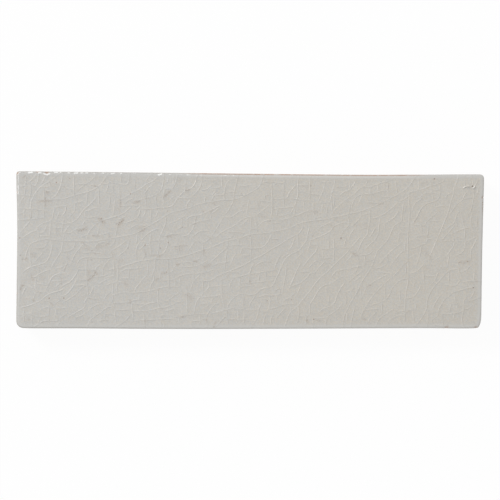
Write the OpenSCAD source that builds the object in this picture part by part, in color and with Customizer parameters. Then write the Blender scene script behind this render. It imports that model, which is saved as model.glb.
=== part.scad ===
// Crackle-glazed ceramic field tile, lying with its glazed face up.
// The origin is the middle of the outline's bounding box, on the bedding plane.
// X runs along the tile, Y across it and Z up through the glazed face.

/* [Tile] */
// Length over the two ends, along the upper long edge
tile_length = 152.4; // [90:0.1:310]
// Width at the wide, left-hand end
tile_width = 51.1; // [40:0.1:160]
// Thickness from the bedding plane to the middle of the glazed face
tile_thickness = 9.5; // [7:0.1:16]

/* [Fired outline] */
// How much narrower the right-hand end is than the left-hand end
end_taper = 1; // [0:0.05:2]
// How far the lower right-hand corner stands back from the upper one
end_lean = 1; // [0:0.05:2]
// Bulge of the lower long edge, with minus for a hollow
lower_bow = 0.3; // [-1:0.05:1]
// Bulge of the right-hand end
right_bow = -0.1; // [-1:0.05:1]
// Bulge of the upper long edge
upper_bow = -0.4; // [-1:0.05:1]
// Bulge of the left-hand end
left_bow = -0.3; // [-1:0.05:1]
// Corner radius at the lower left
lower_left_radius = 2.3; // [0.6:0.1:4]
// Corner radius at the lower right, along the long edge
lower_right_radius = 1.4; // [0.6:0.1:4]
// Length of end that the worn lower right-hand corner takes up
lower_right_wear = 3.8; // [0.6:0.1:6]
// Corner radius at the upper right
upper_right_radius = 1.4; // [0.6:0.1:4]
// Corner radius at the upper left
upper_left_radius = 0.9; // [0.6:0.1:4]

/* [Glaze] */
// Thickness of the glaze where it stands proud of the bare side
glaze_thickness = 0.3; // [0.2:0.05:0.8]
// How far the glaze runs down the side, from the face to its lip
glaze_run = 3; // [2.2:0.1:4]
// Width of the rim where the face rolls over into the side
rim_width = 1.5; // [0.6:0.1:3]
// Height of the same rim
rim_height = 1.1; // [0.5:0.1:1.5]
// Width of the slow fall from the flat of the face to the rim
cushion_width = 5; // [2:0.5:10]
// Depth of that fall
cushion_fall = 0.15; // [0.05:0.05:0.3]

/* [Clay side] */
// How far the bare side leans in, from the glaze lip to the back
side_draft = 0.35; // [0:0.05:1]
// Worn round at the back's edge
back_round = 0.6; // [0.2:0.1:1.2]

/* [Keys in the back] */
// Number of pressed grooves that the adhesive grips
key_count = 4; // [2:2:6]
// Width of a groove at its mouth
key_width = 5.4; // [3:0.1:6]
// Depth of a groove
key_depth = 1; // [0.5:0.1:1.5]
// How far each wall of a groove leans in by its floor
key_draft = 0.5; // [0.1:0.1:1]
// Plain border between the tile's outline and the grooves
key_border = 7; // [4:0.5:10]

/* [Hidden] */

glaze_colour = [0.757, 0.745, 0.718];
side_steps = 8;
corner_steps = 6;
round_steps = 5;
rim_steps = 6;
cushion_steps = 4;
key_steps = 8;
overrun = 0.5;

// Where each edge's bow is deepest, from its start, going round anticlockwise
lower_peak_share = 0.38;
right_peak_share = 0.5;
upper_peak_share = 0.25;
left_peak_share = 0.35;
// How far a corner curve's handles reach towards the corner, for a near-true ellipse
handle_share = 0.5523;
// How fast the corners soften again on the rings inside the rim
soften_share = 0.4;

half_length = tile_length / 2;
half_width = tile_width / 2;
lip_z = tile_thickness - glaze_run;
rim_top_z = tile_thickness - cushion_fall;
back_inset = glaze_thickness + side_draft;

// The four edges, anticlockwise from the lower one: bulge, and share along the edge where it peaks
edges = [
    [lower_bow, lower_peak_share],
    [right_bow, right_peak_share],
    [upper_bow, upper_peak_share],
    [left_bow, left_peak_share]
];
// The corner at each edge's start: reach back along the edge before, and on along the edge after
corner_reach = [
    [lower_left_radius, lower_left_radius],
    [lower_right_radius, lower_right_wear],
    [upper_right_radius, upper_right_radius],
    [upper_left_radius, upper_left_radius]
];

// Corners of the outline, moved in by an inset
function corners(inset) = [
    [-half_length + inset, -half_width + inset],
    [half_length - end_lean - inset, -half_width + inset],
    [half_length - inset, half_width - end_taper - inset],
    [-half_length + inset, half_width - inset]
];

// Rises from 0 to 1 as s does, level at both ends
function ease(s) = s * s * (3 - 2 * s);

// How much of a bow shows at share u of its edge, when it peaks at share p
function bow_share(u, p) = 1 - ease(abs(u - p) / (u < p ? p : 1 - p));

// Reach of a corner curve on a ring that lies in by an inset
function reach_at(reach, inset) = max(reach - inset, soften_share * max(inset, back_inset));

// A point at share u of the edge from a to b, pushed out by the edge's bow
function edge_point(a, b, edge, u) =
    let (along = (b - a) / norm(b - a))
    a + (b - a) * u + [along.y, -along.x] * edge[0] * bow_share(u, edge[1]);

// A point at share t of the corner curve from p to q round the corner c
function corner_point(p, c, q, t) =
    let (h1 = p + (c - p) * handle_share, h2 = q + (c - q) * handle_share)
    p * pow(1 - t, 3) + h1 * 3 * t * pow(1 - t, 2) + h2 * 3 * pow(t, 2) * (1 - t) + q * pow(t, 3);

// One ring of the tile: each edge between its corners, then the corner at its end
function outline(inset) =
    let (c = corners(inset))
    [
        for (i = [0:3])
            let (
                j = (i + 1) % 4,
                k = (i + 2) % 4,
                length = norm(c[j] - c[i]),
                start = reach_at(corner_reach[i][1], inset) / length,
                end = 1 - reach_at(corner_reach[j][0], inset) / length,
                next = reach_at(corner_reach[j][1], inset) / norm(c[k] - c[j]),
                leave = edge_point(c[i], c[j], edges[i], end),
                arrive = edge_point(c[j], c[k], edges[j], next)
            )
            each [
                for (n = [0:side_steps - 1])
                    edge_point(c[i], c[j], edges[i], start + (end - start) * n / side_steps),
                for (n = [0:corner_steps - 1])
                    corner_point(leave, c[j], arrive, n / corner_steps)
            ]
    ];

// Middle of a list of points' bounding box
function middle(points) = [
    for (axis = [0:1])
        (min([for (p = points) p[axis]]) + max([for (p = points) p[axis]])) / 2
];

// The section from the back up to the face, as pairs of inset and height
section = [
    for (n = [0:round_steps])
        let (a = 90 * n / round_steps)
        [back_inset + back_round * (1 - sin(a)), back_round * (1 - cos(a))],
    for (n = [0:round_steps])
        let (a = 90 * n / round_steps)
        [glaze_thickness * (1 - sin(a)), lip_z + glaze_thickness * (1 - cos(a))],
    for (n = [0:rim_steps])
        let (a = 90 * n / rim_steps)
        [rim_width * (1 - cos(a)), rim_top_z - rim_height * (1 - sin(a))],
    for (n = [1:cushion_steps])
        let (s = n / cushion_steps)
        [rim_width + cushion_width * s, rim_top_z + cushion_fall * ease(s)]
];

// A closed solid through rings of equal point counts, lowest ring first
module loft(rings) {
    n = len(rings[0]);
    top = n * (len(rings) - 1);
    polyhedron(
        points = [for (ring = rings) each ring],
        faces = [
            [for (j = [0:n - 1]) j],
            for (i = [0:len(rings) - 2])
                for (j = [0:n - 1])
                    let (a = i * n + j, b = i * n + (j + 1) % n)
                    each [[a, a + n, b + n], [a, b + n, b]],
            [for (j = [n - 1:-1:0]) top + j]
        ]
    );
}

// The fired tile before its back is keyed
module blank() {
    centre = middle(outline(0));
    loft([
        for (step = section)
            [for (p = outline(step[0])) [p.x - centre.x, p.y - centre.y, step[1]]]
    ]);
}

// One drafted groove with round ends, cut up into the back
module key(length) {
    slope = key_draft / key_depth;
    loft([
        for (z = [-overrun, key_depth])
            let (r = key_width / 2 - slope * z, run = length / 2 - key_width / 2)
            [
                for (side = [1, -1])
                    for (n = [0:key_steps])
                        let (a = 180 * n / key_steps - 90)
                        [side * (run + r * cos(a)), side * r * sin(a), z]
            ]
    ]);
}

module keys() {
    span = tile_width - end_taper - 2 * key_border - key_width;
    length = tile_length - end_lean - 2 * key_border;
    for (n = [0:key_count - 1])
        translate([0, span * (n / (key_count - 1) - 1 / 2), 0])
            key(length);
}

module tile() {
    color(glaze_colour)
        difference() {
            blank();
            keys();
        }
}

tile();
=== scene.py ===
# %% [markdown]
# # A crackle-glazed field tile
# The tile is one slab of pressed clay with a glaze fired onto its face. Its looks are all in
# small things: an outline that the kiln has pulled slightly out of square, a rim that rolls over
# into the side, fine raised lines where the glaze has crazed and healed, and a little dirt. The
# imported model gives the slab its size, and every cell below starts from that.

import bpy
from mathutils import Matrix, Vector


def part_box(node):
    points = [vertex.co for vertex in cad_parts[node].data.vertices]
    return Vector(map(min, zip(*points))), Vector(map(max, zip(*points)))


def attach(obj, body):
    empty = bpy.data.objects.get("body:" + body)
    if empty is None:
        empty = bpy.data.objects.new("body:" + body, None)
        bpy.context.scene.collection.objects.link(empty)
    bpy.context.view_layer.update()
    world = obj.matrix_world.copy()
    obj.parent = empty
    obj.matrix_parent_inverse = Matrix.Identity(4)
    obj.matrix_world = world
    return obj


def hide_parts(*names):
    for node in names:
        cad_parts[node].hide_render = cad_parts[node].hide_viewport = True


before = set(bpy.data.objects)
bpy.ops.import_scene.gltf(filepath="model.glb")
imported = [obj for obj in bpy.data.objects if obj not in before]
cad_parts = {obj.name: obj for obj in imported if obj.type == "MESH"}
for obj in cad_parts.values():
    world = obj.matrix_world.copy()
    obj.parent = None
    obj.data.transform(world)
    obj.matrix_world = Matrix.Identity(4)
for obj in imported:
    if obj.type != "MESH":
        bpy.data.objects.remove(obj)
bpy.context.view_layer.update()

# %% Helpers from Blender and Python
import math
import random
from collections import defaultdict

import bmesh
import bpy
from mathutils import Vector, kdtree, noise
from mathutils.geometry import delaunay_2d_cdt

MM = 0.001
tile_low, tile_high = (Vector(corner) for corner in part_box("tile"))

# %% [markdown]
# ## The camera
# The tile was photographed from straight above through a long lens, so its two ends show no
# perspective. A camera that looks down unturned does the same: its right is +X and its top is +Y.
# The tile's length in the photograph gives the size of a pixel, and that gives the height of the
# camera and the place of every mark that is read off the photograph.

# %% Stand the camera over the face
photo_side_px = 500
tile_length_px = 468.15
tile_middle_px = (250.17, 250.15)
lens, sensor = 200, 36
px = (tile_high.x - tile_low.x) / tile_length_px


def on_face(x_px, y_px):
    """The place on the face, in metres, of a place in the photograph, whose pixel 0 starts at 0."""
    return Vector(((x_px - tile_middle_px[0]) * px, (tile_middle_px[1] - y_px) * px))


camera_data = bpy.data.cameras.new("camera")
camera_data.lens = lens
camera_data.sensor_width = sensor
camera = bpy.data.objects.new("camera", camera_data)
camera.location = (
    (photo_side_px / 2 - tile_middle_px[0]) * px,
    (tile_middle_px[1] - photo_side_px / 2) * px,
    tile_high.z + photo_side_px * px * lens / sensor,
)
bpy.context.scene.collection.objects.link(camera)
bpy.context.scene.camera = camera
print(f"one pixel is {px / MM:.4f} mm, camera {camera.location.z:.3f} m up")

# %% [markdown]
# ## The fired outline
# No side of the tile is quite straight and no two corners are alike. The solid already has that
# outline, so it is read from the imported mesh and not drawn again: the ring of points at the
# height where the side is still full width, put in order round the middle.
#
# A curve through those points has to take long steps along the sides and short ones round the
# corners without swinging wide. A centripetal spline does that, and it serves for the cracks too.

# %% A smooth path through points
def smooth_path(points, step, closed=False):
    """Points about every step along a centripetal spline through the given ones."""
    points = [Vector(p) for p in points]
    if closed:
        padded = [points[-1], *points, points[0], points[1]]
    else:
        padded = [2 * points[0] - points[1], *points, 2 * points[-1] - points[-2]]
    path = []
    for a, b, c, d in zip(padded, padded[1:], padded[2:], padded[3:]):
        t1 = (b - a).length ** 0.5
        t2 = t1 + (c - b).length ** 0.5
        t3 = t2 + (d - c).length ** 0.5
        count = max(1, round((c - b).length / step))
        for n in range(count):
            t = t1 + (t2 - t1) * n / count
            ab = a.lerp(b, t / t1)
            bc = b.lerp(c, (t - t1) / (t2 - t1))
            cd = c.lerp(d, (t - t2) / (t3 - t2))
            abc = ab.lerp(bc, t / t2)
            bcd = bc.lerp(cd, (t - t1) / (t3 - t1))
            path.append(abc.lerp(bcd, (t - t1) / (t2 - t1)))
    return path if closed else [*path, points[-1]]


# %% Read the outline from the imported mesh
outline_step = 0.5 * MM
hair = 0.001 * MM

cad_points = {tuple(round(c, 7) for c in v.co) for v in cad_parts["tile"].data.vertices}
rim_base_z = max(z for x, y, z in cad_points if x > tile_high.x - hair)
cad_ring = sorted(
    ((x, y) for x, y, z in cad_points if abs(z - rim_base_z) < hair),
    key=lambda p: math.atan2(p[1], p[0]),
)
outline = smooth_path(cad_ring, outline_step, closed=True)
print(f"{len(cad_ring)} packed points, {len(outline)} outline points, rim base {rim_base_z / MM:.2f} mm")

# %% [markdown]
# Every ring of the tile lies inside the outline by some inset. Moved straight in, the points of a
# tight corner would cross each other, so each point moves along a direction that starts to turn a
# little before the corner does. The same rule tells how far in any point of the face lies.

# %% Rings and insets
corner_blend = 5


def inward_normals(ring):
    """Unit directions straight in from each point of an anticlockwise ring."""
    count = len(ring)
    along = [(ring[(i + 1) % count] - ring[i - 1]).normalized() for i in range(count)]
    return [Vector((-t.y, t.x)) for t in along]


outline_count = len(outline)
straight_in = inward_normals(outline)
blended_in = []
for i, straight in enumerate(straight_in):
    window = range(i - corner_blend, i + corner_blend + 1)
    turn = sum((straight_in[k % outline_count] for k in window), Vector((0, 0)))
    blended_in.append(turn / turn.dot(straight))

outline_tree = kdtree.KDTree(outline_count)
for i, p in enumerate(outline):
    outline_tree.insert((p.x, p.y, 0), i)
outline_tree.balance()


def ring_at(inset):
    """The outline moved in."""
    return [p + d * inset for p, d in zip(outline, blended_in)]


def nearest_on_outline(p):
    """The number of the outline's nearest point."""
    return outline_tree.find((p[0], p[1], 0))[1]


def inset_of(p):
    """How far a point lies inside the outline."""
    i = nearest_on_outline(p)
    return (Vector(p[:2]) - outline[i]).dot(straight_in[i])


print(f"the tile's middle lies {inset_of((0, 0)) / MM:.1f} mm inside the outline")

# %% [markdown]
# ## The cracks
# The glaze shrank more than the clay as it cooled, so it crazed, and a second firing healed the
# cracks into fine raised lines. They come in three ages. The oldest run right across the face,
# the next branch off between them, and the youngest are hairlines, nearly square to the sides.
#
# The lines that the eye picks out are drawn one by one: each is a few points read off the
# photograph, in pixels, with a spline through them. The rest are grown by the rule that real
# cracks follow: start in an open patch, run on in a slow curve, and stop at the first older crack.

# %% Cracks read off the photograph
long_cracks_px = [
    [(24.5, 262), (27.3, 250.7), (30.7, 244.2), (45, 239.3), (63, 240.8), (76, 240.8), (84, 241.5),
     (94, 241.3), (103, 239.8), (130.7, 234.8), (137.3, 232.6), (144, 228.7), (159.6, 219.8),
     (166.2, 215.3), (174, 212), (181.8, 210.3), (190.7, 207.6), (196.2, 205.1), (221.8, 200.3),
     (230.7, 199.8), (237.5, 198.7), (256.2, 189.2), (260.1, 185.3), (262, 180), (262.7, 175)],
    [(108, 270.2), (113, 269), (119.6, 267.9), (125.1, 265.5), (132.9, 263.4), (137.3, 261.8),
     (155.1, 259), (170.7, 258.7), (186.2, 255.7), (200.7, 250.6), (206.2, 249.2), (215.1, 245.9),
     (227.3, 240.9), (239.6, 238.3), (250.7, 234.4), (262.9, 233.4), (278.4, 230.9), (291.8, 227.3),
     (300.7, 223.1), (328.4, 218.7), (334, 217), (340.7, 216.2), (351.8, 213.4), (359.6, 211.8),
     (366.2, 209.2), (374, 206.7), (379.6, 203.7), (397.3, 194.8), (408.4, 187), (414.2, 178.8)],
    [(158, 280.6), (171.8, 280), (177.3, 277.3), (182.9, 275.1), (190.7, 273.8), (201.8, 273.2),
     (214, 269.5)], [(200.7, 280.8), (208.4, 280.9), (212.9, 279.3), (219.6, 275.1), (226.2, 272.7),
     (234, 269.4), (240.7, 266.8), (256.2, 258.2), (262.9, 254.9), (271, 249.5), (279.6, 244.9),
     (287.3, 239.8), (299.6, 232.6), (301.8, 229.8), (302.9, 226)], [(20, 233), (24.5, 227.5),
     (29.5, 221.4), (30.7, 216.4), (30.7, 206.4), (32, 199.6), (36.2, 192), (42.9, 185.3), (47.3, 182.6),
     (57.5, 175)], [(20, 241), (25, 236), (31, 232.5), (36.2, 230.3), (38.5, 226.2), (49.6, 221.4),
     (55, 222), (60.7, 223.6), (71.8, 223)], [(22, 273.2), (26.2, 269.6), (31.8, 266.8), (41.8, 264),
     (46.8, 261.2), (50.1, 255.1), (52, 247.3), (52.6, 241)], [(20.7, 307.6), (26.2, 306.4),
     (39.6, 301.2), (47.3, 295.1), (52.9, 292.6), (60.7, 290.7), (64, 288.4)], [(51.3, 268),
     (54.6, 261.8), (61.2, 250.7), (64.3, 234.8), (66.8, 228.7), (71.8, 223.1), (78.4, 217.6),
     (82.9, 210.9), (92.9, 201.4), (97.3, 195.9)], [(50, 199.6), (63, 199), (75.1, 195.3), (89.5, 191.4),
     (96.2, 188.1), (101.8, 183.1), (108.3, 173.8)], [(87.3, 240.5), (87.9, 234.2), (95.1, 224.8),
     (101.8, 220.9), (120.7, 214.8), (126.2, 211.4), (131.8, 206.4)], [(133, 201.8), (157.3, 194.2),
     (160.7, 190.9), (162.9, 185.3), (163.7, 176)], [(119.5, 200.3), (131, 193.6), (139.6, 189.2),
     (146.5, 184.2), (153, 181), (158, 177.3)], [(140.3, 208.4), (151.8, 208.8), (160.7, 207.7),
     (168.4, 207.3), (173, 205.2), (177.3, 198.7), (181.8, 193.7), (187.3, 189.8), (191.8, 187.8),
     (195.1, 183.1), (197, 176.5)], [(216.2, 237.6), (220.7, 233.1), (235.1, 225.3), (240.7, 220.8),
     (246.2, 217.8), (254, 216.4), (271, 204.2)], [(203.4, 243), (208.4, 239.8), (217.3, 227.6),
     (224, 216.4), (229.6, 208.7), (232.9, 202), (234, 194.2), (237.8, 177)], [(111.8, 295.1),
     (117.3, 294), (125.1, 292.2), (130.7, 293.2), (138.4, 292.4), (148.4, 291.2), (166.2, 286.8),
     (179, 287.1)], [(130.7, 311.2), (149.6, 310.4), (157.3, 308.4), (166.2, 307.1), (175.1, 303.4)],
    [(211.2, 313.4), (219.6, 311.6), (231.8, 308.4), (240, 309.3), (250.7, 309.7), (258.5, 309.3)],
    [(246, 294.6), (250.7, 294.8), (256.2, 293.6), (260.7, 289.6), (266.2, 287.6), (270.1, 287.3),
     (274, 284), (276.2, 278.4), (279, 272.9), (285.1, 259.6), (292.9, 253.4), (298.4, 250.7),
     (302, 246.5), (306.8, 239.8), (307.5, 235.3), (309.8, 226.5)], [(285.5, 325), (287.9, 317.3),
     (291.8, 310.7), (297.3, 306.2), (302.9, 299.6), (309.6, 291.8), (315.1, 284), (321.8, 276.4),
     (328.4, 271.2), (334, 265.1), (347.3, 252.1), (360.7, 236.4)], [(269.5, 309.3), (277.3, 307.3),
     (284.6, 304)], [(284.5, 300), (289.6, 297.7), (292.5, 295.3), (294.5, 292.5)], [(343.4, 324.5),
     (344, 317.4), (350.1, 304), (358.4, 289.6), (361.8, 281.8), (370.7, 268.4), (376, 255.5),
     (378.4, 249.8), (382.9, 245.3), (388.4, 238.7), (391.8, 230.9), (395.1, 225.3), (399.6, 222.6),
     (407.6, 221.4)], [(331.8, 215), (334, 210.9), (344, 201.2), (349.6, 197.4), (360.7, 188.1),
     (365.1, 185.3), (368.3, 180)], [(357.5, 252), (360.7, 244.2), (364, 238.7), (367.3, 234.2),
     (368.6, 227.6), (369.8, 218.7), (369.6, 209.8)], [(376.5, 324.5), (380.1, 317.9), (386.2, 314),
     (394.5, 308.2)], [(360, 320.5), (361.5, 315), (370.1, 299.6), (379.6, 288.4), (388.4, 280.1),
     (395.1, 274.6), (400.7, 268.4), (404, 264), (408.5, 261)], [(370.5, 218.8), (376.2, 217.6),
     (382.9, 214.8), (389.6, 210.3), (398.8, 201.3)], [(408.6, 192), (409.6, 210.9), (408, 240),
     (408.2, 280.7), (406.2, 291.8), (404.5, 321.5)], [(409.6, 273.5), (415.1, 272.3), (420.7, 267.9),
     (425.1, 262.3), (429.6, 256.2), (438.4, 236.4), (449, 209.8), (451.2, 200.9), (453.4, 194.2),
     (454, 188.7), (457.3, 180.9), (458, 178)], [(416.5, 324.5), (419.6, 321.2), (426.2, 309.6),
     (427.3, 300.7), (430.7, 291.8), (434, 286.8), (440.7, 279.6), (445.7, 273.4), (450.7, 270),
     (454.5, 268.8)], [(408.6, 192.6), (420.7, 189.8), (429.6, 186.4), (437.3, 184), (442.9, 181.4),
     (446, 179.3)], [(438.2, 315.5), (438.9, 309.6), (441.8, 304), (445.1, 298.6), (448.8, 296.5),
     (452.9, 292.9), (469.5, 288), (474, 287.3)], [(456, 241), (465.1, 241.4), (471.8, 239.2),
     (478.5, 235.2)],
]
branch_cracks_px = [
    [(50.7, 198.7), (55.1, 195.9), (59, 190.3), (61.2, 184.2), (62.8, 175)], [(77.9, 190.3), (83, 185.9),
     (90.7, 180.9), (95.3, 175.5)], [(32, 277.8), (36.2, 276.2), (42.9, 272), (51, 269.5)],
    [(45.7, 290.1), (48.4, 284.6), (51.8, 277.9), (56.2, 274.6), (62.9, 273.4), (70.7, 275.7)],
    [(61.5, 296), (66.2, 294.6), (74, 285.1), (76.4, 280)], [(77.5, 267), (77.3, 271.8), (69.6, 282.3),
     (65, 284.6), (60.5, 288)], [(62.5, 303), (71.8, 297.3), (77.3, 292.9), (81.8, 287.9), (87.5, 285)],
    [(84, 304.6), (86.4, 298.8), (90.7, 293.5), (93.5, 287)], [(68.8, 316.8), (77.3, 311.8),
     (84.6, 307.3), (84.8, 304)], [(36, 325.6), (41.8, 321.8), (47.3, 320.9), (56.5, 320.8),
     (60.7, 317.9), (66.5, 313.2)], [(88, 325), (90.7, 319.6), (102.9, 310.7), (106.2, 307.9),
     (112.9, 306.2)], [(88.7, 311), (91.8, 307.3), (99.6, 304)], [(118.4, 325.3), (125.1, 320.7),
     (131.4, 313.8)], [(110.5, 303), (120.7, 302.9), (129.6, 301.9), (134, 300.2), (140, 299.8)],
    [(139, 308.2), (147.3, 304), (156.5, 302)], [(157.8, 289.5), (157.8, 300), (159.3, 307)],
    [(116.5, 257.5), (125.3, 250.5), (128.5, 245), (129, 241.5)], [(112.5, 250), (119.6, 245.9),
     (125.5, 241.8)], [(70.5, 264), (76.2, 252.5), (79.5, 249)], [(61.8, 216.8), (65.7, 210.3),
     (66, 205)], [(67.9, 218.1), (72.9, 213.1), (75.1, 208.7), (74.5, 203.5)], [(61.5, 233), (64.2, 217)],
    [(103.4, 196), (106.5, 191.5), (108, 186.5), (109, 182.3), (120, 184.5), (127, 184.3), (129.2, 180),
     (129.5, 176)], [(124, 223.3), (130.7, 221.4), (137.3, 217.6), (139.6, 213.1), (140.2, 208.8)],
    [(134.5, 212), (139.5, 207), (141, 205)], [(22.9, 293.6), (24.6, 289.6), (27.3, 286.2)], [(33.2, 299),
     (35.7, 291.8), (37, 289)], [(20.5, 202), (23.5, 197), (25, 192), (26, 176)], [(34, 262.5),
     (43, 252.5)], [(144, 194.8), (148, 188.7), (154, 183.7)], [(163, 198.5), (165, 194.8),
     (170.7, 190.3), (175.1, 184.2), (177.3, 176.5)], [(191.5, 196.8), (196.8, 192), (200.1, 187.6),
     (201.8, 181), (202.2, 176)], [(200.5, 190.3), (206.2, 189.6), (212, 185)], [(224.4, 199.5),
     (224.5, 192), (226.2, 184.2), (229.6, 179.5)], [(211.8, 199.8), (214.5, 195.5), (217.5, 192.3)],
    [(212.3, 195.3), (215.7, 190.3)], [(210.7, 214.2), (222.5, 205.8)], [(229, 218.5), (235.1, 214.8),
     (239.6, 211.4), (246, 210.6)], [(240.7, 208.7), (244, 204.2)], [(185.8, 220), (190.7, 216.4),
     (200.7, 214.8), (221, 205)], [(169.6, 223.1), (172.9, 222.6), (184.8, 215.7)], [(176.2, 230.3),
     (179.6, 228.1), (188.4, 226.4), (196.2, 222.6), (210.7, 219.2)], [(165.8, 217.5), (165.7, 223.1),
     (160.5, 235.5), (159.3, 239.5)], [(181.5, 236.5), (187.3, 235.3), (192.9, 228.7), (195.3, 221),
     (196.2, 214.8)], [(192.9, 236.4), (197.9, 232.6), (201.8, 230.9), (209.6, 230.9)], [(187.9, 251.6),
     (191.8, 245.3), (195.3, 241)], [(136.8, 260), (136.2, 251), (137.9, 245.3), (147.3, 234.2),
     (156.2, 229.3), (160, 229.8)], [(139.6, 249.8), (144, 245.9), (150, 244.8)], [(166, 237),
     (168.2, 242), (164, 252.5), (160.5, 254.6), (150, 254)], [(210, 263), (229.5, 245.2)], [(231, 264),
     (233, 259), (235.8, 253.8)], [(226.8, 250.5), (224.6, 269.5)], [(180, 267.3), (196.2, 266),
     (207.5, 260.8)], [(171.8, 271.5), (175.1, 266.2), (179.6, 263.1), (182.5, 263)], [(166.8, 301.8),
     (172.9, 296.8), (179.6, 292.3), (183.5, 288.8)], [(134.6, 291.8), (135.7, 288.4), (140.7, 282.3),
     (144.6, 277.3), (148, 275)], [(150, 290), (150.8, 285.5), (153.8, 280), (153.5, 275)], [(190.5, 290),
     (192.9, 282.9), (196.2, 278.4), (199.8, 275.5)], [(194, 314.5), (194.9, 307.3), (197.3, 300.7),
     (202.9, 294), (208.2, 288.2), (209.1, 284), (209, 280.5)], [(205.1, 307.9), (210.1, 304),
     (212.9, 298.4), (218.4, 295.1), (221.8, 294.2)], [(206.6, 325.5), (206.3, 319.6), (207.9, 314),
     (211.2, 308.4), (215.1, 304.6), (221, 302.2)], [(217.3, 325.1), (221.8, 320.1), (226.4, 316)],
    [(227.5, 307.5), (230.1, 301.8), (238.4, 294.6), (246, 294.4)], [(236.8, 324), (238.4, 316.2),
     (238, 309.6)], [(229.5, 290), (230, 285.5), (231.8, 280.7), (236, 276)], [(249.6, 285.5),
     (249.5, 276.2), (250.7, 270), (252.5, 266), (254.5, 263.5)], [(249.3, 307), (250.7, 302.5),
     (255, 296.2), (256.5, 293.5)], [(252, 325.3), (256.2, 319.6), (259.6, 307.3), (261.3, 302.7)],
    [(174.5, 316.9), (182.9, 316), (190.7, 314.6), (201.8, 314.2), (207, 314.6)], [(289.5, 215),
     (293.4, 208.7), (298.2, 194.2), (297.9, 186.4), (298.6, 178)], [(280, 220.3), (289.6, 218.1),
     (302.9, 213.1), (308.4, 210.7), (320, 210.5)], [(318, 202.5), (324.2, 187.6), (324.7, 180)],
    [(332, 194.3), (340, 195.2), (344, 192), (350, 189.5), (356.5, 180)], [(330.3, 201.5), (332.3, 192),
     (334.4, 185.3), (335.5, 179)], [(271, 218), (272.3, 209), (271.5, 184.5)], [(272, 188.5),
     (273.5, 186), (277, 183), (284.2, 183.2)], [(287, 198.5), (289.3, 193), (296, 184.5)], [(243, 247.6),
     (251.8, 248.4), (260.7, 248), (265.1, 245.3), (268.4, 240.9), (272.4, 232.3)], [(288.8, 250.3),
     (292, 246), (295, 237.5)], [(309.8, 241), (314, 238.7), (321.8, 235.9), (331.2, 230.3),
     (332.9, 227.3), (338.4, 224.2), (346, 222)], [(318.5, 229), (322.9, 225.9), (328.4, 223.7),
     (332.5, 221.5)], [(351, 227.3), (361.2, 215.9), (360.7, 210.9)], [(349.3, 238.5), (351.5, 232.5),
     (355, 228.5)], [(339.8, 237), (343.4, 231.4), (347.3, 227), (350, 223.5)], [(302.7, 266.7),
     (309.6, 258.4), (316.2, 250.7), (318.3, 245)], [(289, 289.3), (297.9, 268.4), (300.8, 262.8)],
    [(313.5, 274.8), (319.6, 266.8), (326.5, 260.3)], [(291, 286.5), (299.6, 283.4), (305.1, 279.6),
     (310.5, 273.5), (314, 273)], [(331.5, 277), (334, 273.5), (337, 270.7)], [(337, 271.5),
     (345.1, 269.2), (351, 268.5), (357.3, 266.6), (363, 266.6)], [(232, 278), (239.6, 276.6),
     (249.6, 274), (256.2, 273.4), (269.6, 270.7), (275, 270.7)], [(309.8, 314), (310.1, 304.6),
     (314, 298.4), (318.4, 290.7), (322.9, 286), (330.7, 283.4), (336.2, 280.1), (343.4, 276.2)],
    [(318.4, 312.9), (322.9, 309), (329.6, 306.8), (335.1, 301.8), (336.8, 296.2), (340.1, 289.6),
     (345.3, 281.6)], [(326.2, 317.9), (338.4, 308.4), (342.4, 302.7)], [(347.3, 283.4), (354, 277.3),
     (361.8, 271.2)], [(344, 293), (349.6, 290.7), (354.5, 287.8)], [(276.3, 318), (281, 312.5),
     (286.5, 307)], [(274.6, 270.5), (275.7, 265.1), (280.3, 254.8)], [(283, 257.6), (286.2, 254.6),
     (290, 253.2)], [(360.7, 255.1), (368.4, 254.2), (374.8, 248.8)], [(262.9, 324.5), (265.7, 314)],
    [(364.4, 250), (369.6, 244.8), (375.1, 239.8), (378.4, 233.1), (379, 226.4), (380.2, 218)],
    [(362, 187.2), (370.7, 187), (376.2, 184.8), (381.8, 182.9), (390, 181)], [(412.3, 211), (414, 205.3),
     (417.3, 201.4), (421, 199.5), (422.5, 196)], [(412.6, 226), (413.4, 223.1), (417.3, 216.4),
     (421.8, 207.6), (427.3, 203.7), (437, 200), (440, 195), (440.4, 190), (439.4, 185.5)], [(424.3, 226),
     (427.3, 220.9), (432.9, 216.4), (438.3, 211)], [(400.5, 201), (410, 196.3)], [(385.1, 223.1),
     (389.6, 220.9), (394, 217.6), (396.8, 214.2), (398.6, 210.7)], [(379.5, 263.6), (391.8, 250.7),
     (399.6, 244.4), (402.9, 240.9)], [(391.8, 264), (396.2, 258.4), (400.7, 252.9), (406.2, 250.3)],
    [(370.7, 305.7), (385.1, 300.1), (389.6, 294.6), (392.9, 287.3), (397.3, 282.3), (402.9, 279.3),
     (407.9, 278.7)], [(366.8, 286.2), (370.7, 283.4), (390, 273)], [(386.8, 321.8), (397.3, 315.7),
     (404, 315.1)], [(371.5, 268.3), (379.6, 268), (387.5, 263)], [(368.3, 325), (368.6, 320.5),
     (372.5, 316), (376.4, 311.5)], [(451.8, 234.2), (460.7, 229.8), (468.4, 227.6), (477.3, 226.2)],
    [(470.7, 259.5), (471.2, 250.7), (474.6, 243.5), (478, 236.5)], [(450.5, 213.5), (456.2, 205.3),
     (460.7, 201.4), (466.2, 198.7), (472.5, 197.7)], [(468.3, 214), (470.7, 210.9), (473.5, 197.6),
     (473.5, 190)], [(444.5, 229.8), (454.6, 222), (456.8, 214.5), (460.7, 210.5)], [(460.8, 210),
     (462.3, 218.7), (464.6, 227.6), (465.1, 238.7)], [(477.3, 236.4), (475.1, 234.2), (471.2, 227.6),
     (470.7, 220.9), (472.3, 214.2)], [(446.5, 256.5), (450.7, 249.8), (454.3, 244.5), (453.5, 237)],
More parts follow.
